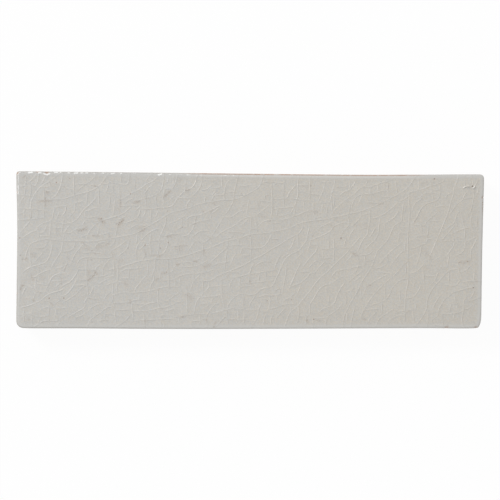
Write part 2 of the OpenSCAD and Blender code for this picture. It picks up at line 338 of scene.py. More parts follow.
    [(416.5, 265), (420.3, 253.5), (421.8, 245.3)], [(406.5, 298.5), (412.9, 296.8), (417.9, 291.8),
     (421, 285)], [(431.5, 284), (434.5, 281), (438.5, 271.5)], [(433.3, 307), (436.5, 301),
     (439.8, 295.8)], [(463.2, 325), (462, 319.5), (463.4, 310.7), (464.2, 300.5), (467.9, 296)],
    [(440.7, 313.8), (454, 313.4), (460, 312), (463.5, 310), (469.6, 307.7), (473.8, 304)], [(449.6, 311),
     (451.8, 302.9)], [(460.7, 272.3), (466.2, 270.1), (470.9, 265.5)], [(456.5, 255.5), (463, 252),
     (465, 246)], [(447.3, 268.4), (449, 256)], [(458.4, 262.5), (459.8, 275)], [(443.5, 285),
     (456.2, 285.2), (460.5, 279.5)], [(462.9, 282.3), (469.6, 280.9), (478.5, 280.8)], [(445.5, 198.5),
     (447.3, 194.8), (452.5, 192.5)], [(470.5, 299), (475, 290.5)], [(221.6, 176), (221.9, 187.2)],
    [(88.5, 280), (92.9, 275.7), (96.5, 267.5), (101, 264)], [(259, 297), (266.2, 295.3), (275.1, 295.4),
     (282, 293.8)], [(298.3, 305.5), (299, 314), (297, 324.5)], [(168, 259.5), (169, 287.5)],
    [(87, 258.5), (86.3, 273), (87.3, 282), (88, 296)], [(53.5, 305), (59.8, 300.5)], [(255, 266.2),
     (260.7, 262.4), (266.2, 261.2), (271.8, 262.9), (274.5, 265.5)], [(257, 228.5), (259.6, 224.8),
     (264, 221.4), (270.7, 220), (275.7, 220.3)], [(202.9, 242.5), (203.3, 257)], [(202, 263.5),
     (205.8, 272)], [(117.3, 263.5), (117.9, 271.8), (116.8, 292.9)], [(413.5, 239.5), (415.5, 237.5),
     (419.6, 235.7), (427, 235.5)], [(409.6, 248.7), (415.1, 248), (421.8, 244.8), (427, 243.3)],
    [(63.4, 271.5), (67, 263)],
]
hairlines_px = [
    [(26, 180.5), (30, 184), (35, 185.8), (37.5, 182), (39, 175)], [(20, 186.2), (26, 185.8)],
    [(30.7, 187), (30.5, 195), (28, 202)], [(20.5, 194.6), (33, 196)], [(33, 199.2), (42, 199.6),
     (50, 199)], [(44, 190), (44.6, 200), (44, 218.5)], [(44.5, 192.5), (47, 191), (50, 190.8),
     (53, 192.5)], [(19.5, 208.5), (30, 208.7), (40, 210), (52, 210.6)], [(20, 219.8), (32, 219.2),
     (44, 217.8)], [(37.6, 212), (37.7, 218.6)], [(24.5, 208.5), (24, 217)], [(55, 183), (61.8, 183.7)],
    [(62.5, 183.5), (66, 187.5), (73, 189.3)], [(74, 176), (74, 196)], [(76, 184.5), (86, 184),
     (99, 186.2)], [(99, 188.5), (99, 204)], [(104, 192), (114, 194.8), (118.4, 198.1)], [(119, 184.5),
     (119.5, 192), (119.8, 207)], [(112.3, 184), (112.9, 192)], [(110.2, 196), (109.2, 208)],
    [(85, 211.4), (90.7, 209.8), (94, 208.1), (99.5, 208.7)], [(100.7, 209.8), (111.8, 209.2)],
    [(115, 201), (113.5, 215.5)], [(125.1, 204.2), (128.4, 200.3), (134, 198.3)], [(52.9, 207.5),
     (66.2, 205.9)], [(74, 203.1), (83, 201.3)], [(54.5, 207.5), (52, 221)], [(59.5, 212), (56.8, 218.7)],
    [(37.5, 231.8), (43, 232.3), (47.3, 225.2)], [(39.5, 235.9), (49.5, 236.4)], [(51, 219), (49.7, 239)],
    [(38.2, 227), (38.7, 238.7)], [(51.8, 227.6), (62.9, 228.1)], [(55.7, 225.3), (55.7, 234.2)],
    [(54, 234.2), (62.9, 233.1), (70.7, 232.6), (76.2, 229.2), (81, 228)], [(85, 212), (85.2, 220),
     (82.5, 225)], [(115.5, 237), (118, 224), (120, 221)], [(90, 234.5), (96, 235.8), (110, 232.3)],
    [(81.8, 236.4), (87.3, 234.8)], [(100.7, 234.2), (101.8, 239)], [(108.4, 232.6), (109, 238.7)],
    [(46.2, 240.5), (46.5, 244.5), (43, 247.5), (35, 247.7)], [(61.5, 251.6), (69.6, 250.9), (73, 248.5),
     (74.7, 244.5), (74.8, 241)], [(79.5, 249), (83, 244.5), (88, 245.5)], [(94, 249), (97.5, 244.2),
     (103, 242), (106, 243.5), (106.8, 248)], [(109.5, 247), (113.5, 243.5), (115.7, 238.7)],
    [(118, 219.5), (126, 216.5)], [(146.3, 180.5), (149.8, 176)], [(164.5, 195), (164.8, 189.5),
     (171.5, 188.6)], [(163.5, 193), (163.4, 206.5)], [(170, 200), (174.2, 195.6)], [(165, 182.2),
     (167.3, 182.2), (168.6, 178.5)], [(145.5, 194.5), (146.8, 207.5)], [(155.7, 195.3), (156.8, 207)],
    [(145.8, 209.5), (145, 213.5), (142.9, 217)], [(158.4, 210.9), (155.1, 217.6)], [(151.3, 209.2),
     (150.3, 224)], [(205.7, 196.4), (204.6, 202)], [(192, 197), (192.9, 206.5)], [(186.2, 208.5),
     (187.9, 203), (192, 198)], [(178, 183), (182, 185), (188, 186.8)], [(185.5, 180), (185.3, 194)],
    [(200.7, 180.3), (218, 180.4)], [(213.5, 187.8), (222, 187.4)], [(237, 185.3), (244, 185.9),
     (250, 185)], [(227.3, 192.6), (233, 192)], [(217, 194.8), (224, 195.4)], [(187.2, 219.8),
     (187.8, 226.5)], [(209.6, 210.9), (211.2, 217.6)], [(163.5, 236), (168.4, 235.3), (172.9, 233.7),
     (180, 234.4)], [(129.5, 229.5), (133.5, 226.5), (138.5, 224.2)], [(140, 225.3), (147, 226)],
    [(137.2, 234), (137, 240), (135.5, 245)], [(151.3, 233), (150.2, 243), (151.5, 256)], [(152.5, 240.8),
     (163.5, 240.3)], [(158.6, 241), (158.4, 252), (155, 260.5), (154.5, 269), (151.5, 277)], [(172, 246),
     (178, 245.8), (184, 244.3), (190, 245.8)], [(179, 244.2), (179, 252)], [(190.5, 240.5), (196, 241),
     (203.4, 243)], [(227.3, 241), (227.9, 246.4)], [(228, 246), (235, 245.2), (242, 245.3)],
    [(238.4, 238.7), (238.8, 244.5)], [(226, 238.5), (230, 238), (233.5, 234.5)], [(224, 216.4),
     (230, 217.5)], [(134.6, 180.9), (134.6, 188.7)], [(261, 182.5), (270.7, 181.4), (277, 183.2)],
    [(284.7, 179), (283.5, 193), (284.2, 206)], [(299.6, 185.3), (310, 185.3)], [(310.5, 178),
     (309.6, 199)], [(300, 190.8), (310.5, 193.8), (320.5, 194.9)], [(292, 198.3), (300.7, 199.8),
     (310, 200.5)], [(264.5, 201), (265.5, 195.3), (271, 195.3)], [(273, 199), (287.3, 198.4)],
    [(258, 201), (271, 202)], [(249, 200), (246.8, 213.5)], [(249, 207.5), (258.5, 207.6)],
    [(256.5, 200.5), (258.5, 207)], [(273, 209.5), (284, 207.8), (294.5, 206.8)], [(275, 215),
     (280.7, 215.9), (290, 213.5)], [(277.4, 208.5), (277.2, 216)], [(279.5, 219.5), (281, 229)],
    [(288.5, 219), (291, 228.5)], [(313.5, 202.5), (313.6, 212), (315, 217.5)], [(303.5, 201),
     (304.5, 209)], [(306.3, 210), (308, 219.5)], [(254.5, 218.5), (256.6, 225), (256.8, 232.5)],
    [(251, 218), (251.3, 227), (249.8, 234)], [(251.2, 228.7), (256.2, 228.7)], [(242, 225),
     (248, 219.5)], [(312, 221), (316.2, 218), (321, 216.8)], [(322, 182), (332, 182.5)], [(349.5, 180),
     (350, 189.5)], [(317.3, 202.6), (330, 202.5)], [(322.7, 202.5), (322.3, 211)], [(331.8, 204.2),
     (332.3, 212)], [(348, 214.5), (349.6, 225)], [(334, 237.6), (334, 249), (333.4, 262.9)],
    [(338.4, 237.6), (345.5, 237.3), (343.5, 248)], [(310.5, 244.3), (319, 245.5)], [(320.1, 238.7),
     (322, 245)], [(321.8, 248.9), (337, 248.2)], [(328.4, 239.8), (329, 247.6)], [(270.7, 239.2),
     (279.6, 238.7)], [(264, 234.2), (264.6, 240)], [(272.3, 220), (273, 231)], [(251.2, 236),
     (251, 260)], [(240.5, 253.5), (243.2, 246.8)], [(241.5, 255.3), (251.5, 255.2)], [(370.2, 187.5),
     (370.7, 199)], [(378, 184.5), (378.3, 190)], [(387.6, 183), (387.8, 193)], [(396, 182),
     (397.2, 193.5)], [(364, 194.2), (371.8, 194), (380.7, 191.4), (387.3, 190.3)], [(359, 203),
     (361.2, 198), (363.7, 193.5)], [(384.6, 223.1), (385.1, 229.2)], [(361, 216), (365, 214.5),
     (369.5, 213.8)], [(360.7, 228.7), (367.3, 228.1)], [(399.6, 227.6), (408.4, 226.4)], [(399.6, 233.1),
     (407.3, 233.7)], [(399, 232), (398.4, 242)], [(405.4, 205.5), (404.9, 211)], [(430.5, 182),
     (431.8, 192), (433.5, 199)], [(420, 198), (422, 195.8), (426.2, 193.4), (432.9, 193), (439, 194.3)],
    [(435.1, 201.4), (435.1, 207)], [(435.1, 207.6), (438.4, 206.4), (446.2, 205.9)], [(428, 221.2),
     (440.5, 220.7)], [(410.7, 224.2), (424, 225.9)], [(421, 222), (422, 231)], [(428.5, 225.5),
     (427, 242.5)], [(428.4, 239.2), (433, 238.7)], [(421.8, 245.3), (421, 251)], [(440.5, 241.5),
     (449, 240.5), (456, 241)], [(455.9, 220), (457, 225), (458.6, 230)], [(465.1, 242), (465.7, 249.8)],
    [(464.6, 180.5), (464.9, 187)], [(472.6, 178), (473.5, 188)], [(472.8, 204), (476.5, 206),
     (479.8, 209)], [(477.3, 214.2), (477.2, 225)], [(474.6, 270.1), (474, 280.7)], [(468, 300.5),
     (472, 300.5), (478, 298)], [(469, 310.7), (469, 316.2), (476.2, 317.9)], [(56, 308.5), (56.7, 315),
     (58.3, 320.5)], [(56.2, 308.7), (66.2, 307.9)], [(20, 314.5), (30.5, 314.6), (34.6, 316.3),
     (48.5, 316.4)], [(49.5, 306), (48.6, 314), (49, 321)], [(32.3, 310), (32.3, 324.5)], [(38.5, 311.5),
     (42, 309), (49.6, 306)], [(24, 309.6), (24, 320.7)], [(21, 283.5), (30.7, 287.3), (40.7, 291.8),
     (45.5, 292.8)], [(35.8, 279), (35.2, 287)], [(24.6, 297.3), (33, 299.6)], [(55, 287.5), (62, 281.5)],
    [(43, 300.5), (49, 301.3), (53.5, 305)], [(80, 291), (83, 294.5), (87.5, 296)], [(76.5, 264),
     (80.7, 259), (86.2, 257.5), (96.2, 257.7), (103, 258.3), (110, 257.5), (113, 255)], [(77.9, 269.3),
     (85.1, 269.6)], [(77.9, 279.6), (88.4, 279.8)], [(88.4, 270.7), (94, 270.1)], [(94, 276.5),
     (103, 276.2), (108.5, 274)], [(98.5, 284), (110, 278)], [(105, 277.5), (114.5, 276)],
    [(106.2, 285.7), (110.7, 283.4), (117.3, 282.3), (125.1, 282.9)], [(113.5, 262), (114.7, 276)],
    [(120, 272.5), (126.2, 269), (134, 268.6), (143, 267.5), (146, 266)], [(129, 269.5), (128.5, 279)],
    [(119.6, 278.4), (134, 278.7)], [(123.4, 283), (126.2, 287.3), (130.5, 291.5)], [(104, 299.5),
     (107.3, 294.6), (111.5, 291.5)], [(95.1, 292.3), (103, 295.7)], [(88, 297.5), (97.5, 299.3)],
    [(112.9, 295.1), (112.3, 302.9)], [(113.5, 304), (115, 312), (115.8, 323)], [(104.5, 313.8),
     (123.5, 316.3)], [(99, 320.5), (109, 319.4)], [(115, 310.2), (132, 309.5)], [(131.5, 303),
     (132.8, 313), (132.9, 321)], [(76, 321), (76.3, 317.3), (80.7, 316.2), (85.3, 312.5)], [(105.1, 314),
     (105.1, 319.6)], [(117, 257), (121.5, 258.7), (126, 261)], [(103, 268), (106, 263.5), (110, 259.5)],
    [(103, 268), (103.2, 275)], [(139.6, 294), (139, 301)], [(161.5, 307.8), (165.5, 310.7),
     (175, 308.5)], [(131.8, 321.2), (142.9, 320.1), (172, 318.7)], [(143.8, 314), (144.7, 325)],
    [(160.5, 315), (168.8, 315.5)], [(161, 316), (161, 325.5)], [(179, 316.2), (179.6, 325.1)],
    [(177.3, 301.8), (185.1, 301.2)], [(190.7, 319.6), (191.6, 325.7)], [(200.1, 315.1), (200.1, 324.5)],
    [(191.5, 321.3), (199, 320.7)], [(200.5, 319.2), (206, 319.3)], [(209.5, 286.4), (226, 286)],
    [(187, 290), (187.4, 314.5)], [(160.7, 298.4), (166.2, 301.8)], [(186.5, 291), (191.5, 294),
     (195.5, 297)], [(191.8, 261.3), (199.8, 258.8)], [(212, 266.3), (218.4, 263.4), (227.5, 262)],
    [(220.7, 280.7), (227.3, 276.2)], [(221.5, 282), (221.5, 292), (224.7, 309.5)], [(236, 276.2),
     (239, 277), (239.6, 293.5)], [(226.5, 310), (227, 316), (228.3, 324)], [(228, 319), (244, 320),
     (249.5, 321)], [(182.3, 260), (182.9, 267)], [(191, 258), (193.3, 267), (193.5, 282)],
    [(160.7, 271.8), (160.1, 277.3)], [(160.5, 272), (169.8, 272.5), (174, 270.5)], [(142.3, 260),
     (144.6, 256.2), (145.3, 251)], [(138.4, 262.5), (138.4, 278)], [(175.1, 280.7), (175.7, 286.2)],
    [(180.1, 278.4), (180.4, 288)], [(153.5, 275), (158.5, 279.8)], [(240, 283.5), (261.8, 281.8),
     (274, 280)], [(273.5, 293), (277.5, 289.2), (285, 289)], [(285.6, 276), (283.7, 285),
     (282.6, 293.5)], [(276.6, 295.8), (277.4, 301), (279.2, 306.5)], [(269.6, 295.5), (269.6, 304),
     (267.8, 312)], [(270.5, 324.5), (271.2, 318.5), (273, 315.3)], [(262, 311), (271, 313)],
    [(243.4, 296.2), (244, 301.8)], [(244.6, 310), (244, 324)], [(259.8, 272.5), (258.3, 282.5)],
    [(265.5, 271), (266.5, 281)], [(266.2, 281.8), (269.6, 288)], [(269.6, 275.7), (275.1, 275.7)],
    [(310, 241), (309.5, 246), (307.3, 252)], [(296.5, 259), (302, 253)], [(307.5, 269), (311.8, 264.6),
     (317, 260)], [(319.5, 258.5), (334, 257.5)], [(326.2, 260.7), (331.8, 264)], [(322.9, 251.8),
     (323.4, 258)], [(289.6, 297.3), (294, 299.6)], [(329, 296.2), (328.2, 306)], [(326.2, 286.2),
     (327.1, 294)], [(300.8, 285), (297.9, 293)], [(300.5, 300.5), (307, 309.5)], [(294, 314),
     (305, 316.8)], [(314, 317.9), (326, 317.9)], [(305.5, 325), (306.5, 317), (309, 313.5)],
    [(312.9, 325), (313.3, 317), (311.5, 313)], [(344.5, 293.5), (346.4, 299), (345.5, 305)],
    [(366.5, 286.8), (364.6, 291.8), (361.2, 299)], [(381.2, 295.1), (382.3, 313)], [(394, 302),
     (397.5, 305.5), (404, 306.3)], [(351, 325), (352.5, 317), (354.6, 308.5)], [(399.3, 291),
     (400.8, 304)], [(408.5, 258.5), (415, 254.5)], [(386.8, 255.1), (387.9, 262.9)], [(345.5, 262),
     (349.6, 258), (354, 253), (358.5, 252.3)], [(356.5, 254.5), (358.5, 260.7), (358, 267.5),
     (355, 273)], [(364.6, 265.1), (365.1, 256.2)], [(412.9, 286.8), (415.1, 282.3)], [(412.9, 300.7),
     (416.2, 305.1), (415.1, 309.6)], [(406.8, 309.6), (415.1, 309.6)], [(413, 310), (414, 322)],
    [(425.1, 276.4), (435.1, 276)], [(423.4, 270.7), (424.6, 286)], [(449, 270.5), (448.6, 283)],
    [(455, 295), (455.8, 303.5)], [(451, 302.5), (456.5, 304.5), (462, 306)], [(442.3, 314),
     (442.9, 324.5)], [(454, 314), (453.4, 320.7)], [(427.8, 311), (427.5, 325)], [(430.5, 321.5),
     (438.2, 315.5)], [(431.8, 321.8), (434, 325)], [(426, 252.5), (430, 256.5)], [(425.1, 264.6),
     (436.2, 264.6)], [(434, 260.7), (439.6, 256.8)], [(439.6, 267.3), (447.3, 267.3)], [(450.7, 270),
     (460, 268.5)], [(457, 309.5), (457.5, 302)], [(20.7, 213.7), (23.5, 212.5)],
]
crack_step = 0.5 * MM
rim_reach = 1.4 * MM


def crack_paths(cracks_px):
    """Smooth paths of cracks given in pixels. An end that nearly meets the rim runs on over it."""
    paths = []
    for crack in cracks_px:
        points = [on_face(*p) for p in crack]
        before = 2 * points[0] - points[1]
        after = 2 * points[-1] - points[-2]
        if inset_of(before) < inset_of(points[0]) < rim_reach:
            points.insert(0, points[0] + (before - points[0]).normalized() * rim_reach)
        if inset_of(after) < inset_of(points[-1]) < rim_reach:
            points.append(points[-1] + (after - points[-1]).normalized() * rim_reach)
        paths.append(smooth_path(points, crack_step))
    return paths


long_cracks = crack_paths(long_cracks_px)
branch_cracks = crack_paths(branch_cracks_px)
fine_cracks = crack_paths(hairlines_px)
print(len(long_cracks), "long cracks,", len(branch_cracks), "branches and", len(fine_cracks), "hairlines")

# %% Note where cracks are
patch = 1.5 * MM
crack_places = defaultdict(list)


def patch_of(p):
    """The square patch of the face that a point lies in."""
    return math.floor(p.x / patch), math.floor(p.y / patch)


def claim(path):
    """Notes a crack's points, so that later cracks stop at it."""
    for p in path:
        crack_places[patch_of(p)].append(p)


def gap_to_cracks(p):
    """Distance to the nearest crack point, or the patch size if there is none that near."""
    i, j = patch_of(p)
    near = [q for a in (i - 1, i, i + 1) for b in (j - 1, j, j + 1) for q in crack_places[a, b]]
    return min(((p - q).length for q in near), default=patch)


for crack in [*long_cracks, *branch_cracks, *fine_cracks]:
    claim(crack)
print(len(crack_places), "patches of the face have a crack in them")

# %% Let a crack run until it meets something
crack_edge_gap = 0.5 * MM
meeting_gap = 0.3 * MM
tries_for_each = 40


def one_way(start, heading, reach, bend, wander, rng):
    """Points of a crack that runs from start until it meets the edge, another crack or its reach."""
    path = [start]
    for n in range(round(reach / crack_step)):
        heading += bend + rng.gauss(0, wander)
        p = path[-1] + crack_step * Vector((math.cos(heading), math.sin(heading)))
        if inset_of(p) < crack_edge_gap:
            break
        path.append(p)
        if gap_to_cracks(p) < meeting_gap:
            break
    return path


def grow_cracks(number, headings, spread, reach, bend, wander, clear, seed):
    """Cracks that start in open patches and run both ways."""
    rng = random.Random(seed)
    grown = []
    for attempt in range(number * tries_for_each):
        if len(grown) == number:
            break
        start = Vector((rng.uniform(tile_low.x, tile_high.x), rng.uniform(tile_low.y, tile_high.y)))
        heading = rng.choice(headings) + rng.gauss(0, spread)
        length = rng.uniform(*reach)
        curve = rng.gauss(0, bend)
        if inset_of(start) < crack_edge_gap or gap_to_cracks(start) < clear:
            continue
        back = one_way(start, heading + math.pi, length / 2, curve, wander, rng)
        ahead = one_way(start, heading, length / 2, -curve, wander, rng)
        path = [*reversed(back), *ahead[1:]]
        if len(path) > 3:
            grown.append(path)
            claim(path)
    return grown


# %% Grow the cracks between
grown_branches = grow_cracks(
    number=12, headings=[math.radians(52)], spread=math.radians(12), reach=(3 * MM, 7 * MM),
    bend=math.radians(2.5), wander=math.radians(2), clear=1.2 * MM, seed=11,
)
grown_hairlines = grow_cracks(
    number=70, headings=[0, math.radians(90)], spread=math.radians(5), reach=(2.5 * MM, 7 * MM),
    bend=math.radians(0.6), wander=math.radians(2), clear=0.85 * MM, seed=12,
)
hairlines = [*fine_cracks, *grown_hairlines]
print(len(grown_branches), "branches and", len(grown_hairlines), "hairlines grown")

# %% [markdown]
# ## One closed skin
# The tile is made as one skin of triangles that closes on itself. The face is a flat net whose
# points lie where the detail is: in rows along each crack, in rings round the rim and round each
# pit, and thinly spread elsewhere. An even grid fine enough for the cracks would need several
# times as many points. Blender's own Delaunay triangulation joins such uneven points well.
#
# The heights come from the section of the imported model, so the skin fits the solid. The rim of the
# real tile stays flat a little longer than the solid's quarter ellipse and then turns faster, so
# its curve is an ellipse with a higher power, through the same two ends.

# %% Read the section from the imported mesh
half_height = tile_high.z / 2
near_side = 2.5 * MM
rim_power = 5


def usual_inset(level):
    """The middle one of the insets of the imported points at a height."""
    insets = sorted(inset_of((x, y)) for x, y, z in cad_points if abs(z - level) < hair)
    return insets[len(insets) // 2]


side_levels = sorted({z for x, y, z in cad_points if inset_of((x, y)) < near_side})
foot_z = max(z for z in side_levels if z < half_height)
lip_z = min(z for z in side_levels if z > half_height)
rim_top_z = side_levels[-1]
glaze_thickness, foot_inset = usual_inset(lip_z), usual_inset(foot_z)
rim_width, cushion_end = usual_inset(rim_top_z), usual_inset(tile_high.z)
rim_height, cushion_fall = rim_top_z - rim_base_z, tile_high.z - rim_top_z
back_inset = min(inset_of((x, y)) for x, y, z in cad_points if z < hair)
print(
    f"rim {rim_width / MM:.2f} by {rim_height / MM:.2f}, fall {cushion_fall / MM:.2f} by inset "
    f"{cushion_end / MM:.2f}, lip at {lip_z / MM:.2f}, glaze {glaze_thickness / MM:.2f} thick, foot at "
    f"{foot_z / MM:.2f} and inset {foot_inset / MM:.2f}, back inset {back_inset / MM:.2f} mm"
)


def ease(s):
    """Rises from 0 to 1 as s does, level at both ends."""
    s = min(max(s, 0), 1)
    return s * s * (3 - 2 * s)


def face_height(inset):
    """Height of the glazed face at an inset from the outline."""
    roll = 1 - min(max(inset, 0) / rim_width, 1)
    fall = cushion_fall * ease((inset - rim_width) / (cushion_end - rim_width))
    return rim_top_z - rim_height * (1 - (1 - roll**rim_power) ** (1 / rim_power)) + fall


# %% [markdown]
# The small marks come first, because the net is finer round them. A pit has a place, a radius, a
# depth and the height of the ring that it pushed up as it burst. A nick is a place on the rim
# where a flake came away and the clay shows. A stain is a short stroke of dirt that has lodged in
# the crackle, and three such strokes are painted shade instead. At the right end a blister ran before
# it burst, and left a wormy ridge. Along the upper left rim the glaze crawled into small beads; these
# and a few more marks have a near-white colour that is a painted glint.

# %% Marks read off the photograph
# x and y in pixels, then radius, depth and ring height in millimetres, then how brown it is
pits = {
    "burst blister": (472.4, 186.2, 0.26, 0.25, 0.04, 1.0),
    "brown speck": (434.5, 178.9, 0.34, 0.06, 0.01, 0.55),
    "dark speck": (473.4, 287.7, 0.22, 0.14, 0.01, 0.8),
    "upper pinhole": (311.0, 186.0, 0.20, 0.08, 0.01, 0.45),
    "middle pinhole": (250.2, 236.2, 0.20, 0.08, 0.01, 0.5),
    "rusty speck": (341.2, 238.3, 0.30, 0.08, 0.01, 0.5),
    "rusty dot": (313.0, 236.0, 0.20, 0.08, 0.01, 0.45),
    "lower pinhole": (291.5, 299.8, 0.20, 0.08, 0.01, 0.5),
    "lower left pinhole": (267.3, 300.8, 0.20, 0.08, 0.01, 0.5),
    "foot pinhole": (313.7, 319.3, 0.26, 0.08, 0.01, 0.6),
}
blister_px = [(463.6, 188.4), (465.3, 186.9), (467.5, 186.5), (469.8, 186.7), (471.6, 187.6),
              (473.0, 188.6), (474.4, 187.6), (475.0, 186.0)]
# x and y in pixels, then radius and depth in millimetres, then how brown it is
nicks = {
    "upper left, outer": (37.6, 171.6, 0.5, 0.1, 0.7),
    "upper left, inner": (46.8, 171.9, 0.75, 0.16, 0.85),
    "upper left corner": (17.3, 173.0, 0.6, 0.15, 0.7),
    "left end, high": (16.9, 192.0, 0.4, 0.08, 0.6),
    "left end, middle": (16.6, 244.0, 0.4, 0.08, 0.6),
    "left end, low": (16.6, 294.0, 0.35, 0.1, 0.6),
    "right end": (482.9, 197.5, 0.42, 0.16, 1.0),
    "lower right, long": (446.9, 328.0, 0.9, 0.2, 0.45),
    "lower right corner": (475.9, 328.2, 0.8, 0.2, 0.5),
}
# Strokes of dirt, three of them painted shade: both ends, then radius, all in pixels, then strength
stains_and_shade_px = [
    (39, 201.5, 51, 201, 1.2, 0.6), (45.5, 198, 45.5, 205, 0.9, 0.8), (46, 192, 48, 193, 1.6, 0.6),
    (79.5, 231, 85, 229, 1.3, 0.8), (93, 236, 98, 235.5, 0.9, 0.5), (99, 219, 104, 222.5, 1.5, 0.75),
    (119, 224.5, 123, 220.5, 1.6, 1.0), (120, 200, 121, 207, 1.4, 0.5), (118, 208, 120, 212, 1.7, 0.25),
    (87, 248, 89, 249, 2.4, 0.4), (97, 248, 100, 246, 2.8, 0.4), (106, 245, 109, 243.5, 1.1, 0.45),
    (119, 262, 122, 260.5, 2.0, 0.35), (88.5, 280, 94, 275, 1.5, 0.7), (89, 271, 89, 274, 1.6, 0.5),
    (95, 272, 97, 274, 1.6, 0.65), (125, 283, 127, 285, 1.8, 0.4), (32, 254, 35, 256, 2.4, 0.3),
    (22, 259, 26, 259, 1.0, 0.6), (32, 276, 33, 280, 1.4, 0.6), (42, 277, 44, 279, 2.2, 0.2),
    (60, 278, 62, 279, 1.6, 0.35), (60, 284, 62, 284, 1.0, 0.4), (21, 289, 23, 285, 1.2, 0.8),
    (33, 300, 34, 301, 1.0, 0.5), (40, 293, 41, 293, 0.9, 0.5), (64, 270, 67, 265, 0.8, 0.4),
    (83, 242, 85, 245, 1.3, 0.35), (80, 252, 81, 253, 1.0, 0.45), (28.5, 319, 29.5, 320, 1.3, 0.35),
    (51, 303, 53, 305, 0.9, 0.4), (63, 186, 64, 187, 1.1, 0.4), (23.5, 177.5, 25.5, 175, 0.8, 0.7),
    (31, 216, 31, 218, 0.9, 0.4), (67, 256, 69, 258, 1.9, 0.2), (109, 235, 110, 237, 0.9, 0.4),
    (57, 231, 58, 233, 0.9, 0.4), (113, 254, 113, 256, 0.8, 0.45), (94, 186, 96, 186, 1.2, 0.4),
    (164, 197, 170, 191, 1.2, 0.95), (134, 203, 139, 201.5, 1.3, 0.75), (141, 231, 145, 229, 1.6, 0.65),
    (139, 228, 144, 227, 0.9, 0.4), (167, 237, 170, 236, 1.1, 0.55), (170, 236, 176, 235, 0.8, 0.35),
    (175, 247, 186, 245.5, 0.9, 0.4), (178, 250, 180, 250, 2.3, 0.3), (186, 190.5, 189, 190, 1.0, 0.65),
    (179, 180, 181, 180, 1.6, 0.3), (194, 224, 196, 223, 0.9, 0.45), (203, 254, 204, 250, 1.0, 0.5),
    (204, 267, 210, 265, 1.6, 0.5), (176.5, 265, 179, 264, 1.3, 0.55), (158, 257, 161, 256, 1.2, 0.5),
    (149, 256, 156, 255, 0.8, 0.35), (144, 250, 146, 256, 1.0, 0.4), (162, 274, 165, 273, 1.1, 0.45),
    (156, 280, 158, 279, 1.1, 0.5), (187, 295, 192, 299, 2.2, 0.45), (180, 318, 185, 316, 0.9, 0.65),
    (194, 261, 197, 262, 1.0, 0.45), (158, 290, 159, 289, 1.0, 0.5), (206, 320, 207, 321, 1.0, 0.5),
    (214, 327, 215, 323, 1.0, 0.6), (213, 203, 215, 204, 1.2, 0.4), (210, 212, 212, 210, 1.0, 0.4),
    (210, 238, 211, 239, 0.9, 0.45), (130, 303, 131, 300, 1.2, 0.5), (145, 320, 145, 322, 0.9, 0.45),
    (160, 309, 163, 309, 0.9, 0.4), (314, 212, 317, 212, 1.6, 0.45), (303, 186, 305, 187, 1.0, 0.5),
    (263, 217, 263.5, 217, 0.8, 0.5), (270, 221, 270.5, 221, 0.8, 0.6), (320, 256, 321, 256, 1.2, 0.45),
    (250, 281, 251, 284, 1.0, 0.6), (307, 320, 308, 323, 1.0, 0.6), (319, 321, 320, 321, 1.0, 0.6),
    (353, 253, 357, 256, 1.6, 0.45), (331, 225, 333, 227, 1.5, 0.3), (355, 225, 368, 226, 1.6, 0.22),
    (337, 218, 337.5, 218, 0.8, 0.45), (364, 319, 366, 320, 1.1, 0.5), (387, 186, 389, 186, 2.0, 0.3),
    (378, 205, 383, 203, 1.0, 0.4), (415, 221, 417, 218, 0.9, 0.5), (427, 253, 430, 257, 1.9, 0.25),
    # The second stroke here, just under the dark flap mark, is painted shade.
    (459, 262.6, 468.5, 261.6, 0.75, 1.0), (461, 263.4, 465, 263.2, 1.0, 0.5),
    (460, 307, 461, 307, 0.9, 0.45), (407, 312, 409, 312, 1.6, 0.25), (393, 258, 394, 258, 1.0, 0.3),
    (368, 286, 371, 285, 1.0, 0.5), (424, 268, 426, 268, 2.0, 0.2), (447, 219, 449, 219, 1.6, 0.2),
    # The last two strokes here, on the right end's rim under the nick, are painted shade.
    (424, 183, 425, 183, 0.9, 0.4), (483.1, 201, 483, 214, 0.8, 0.75), (482.9, 203, 482.9, 206, 1.0, 0.9),
]
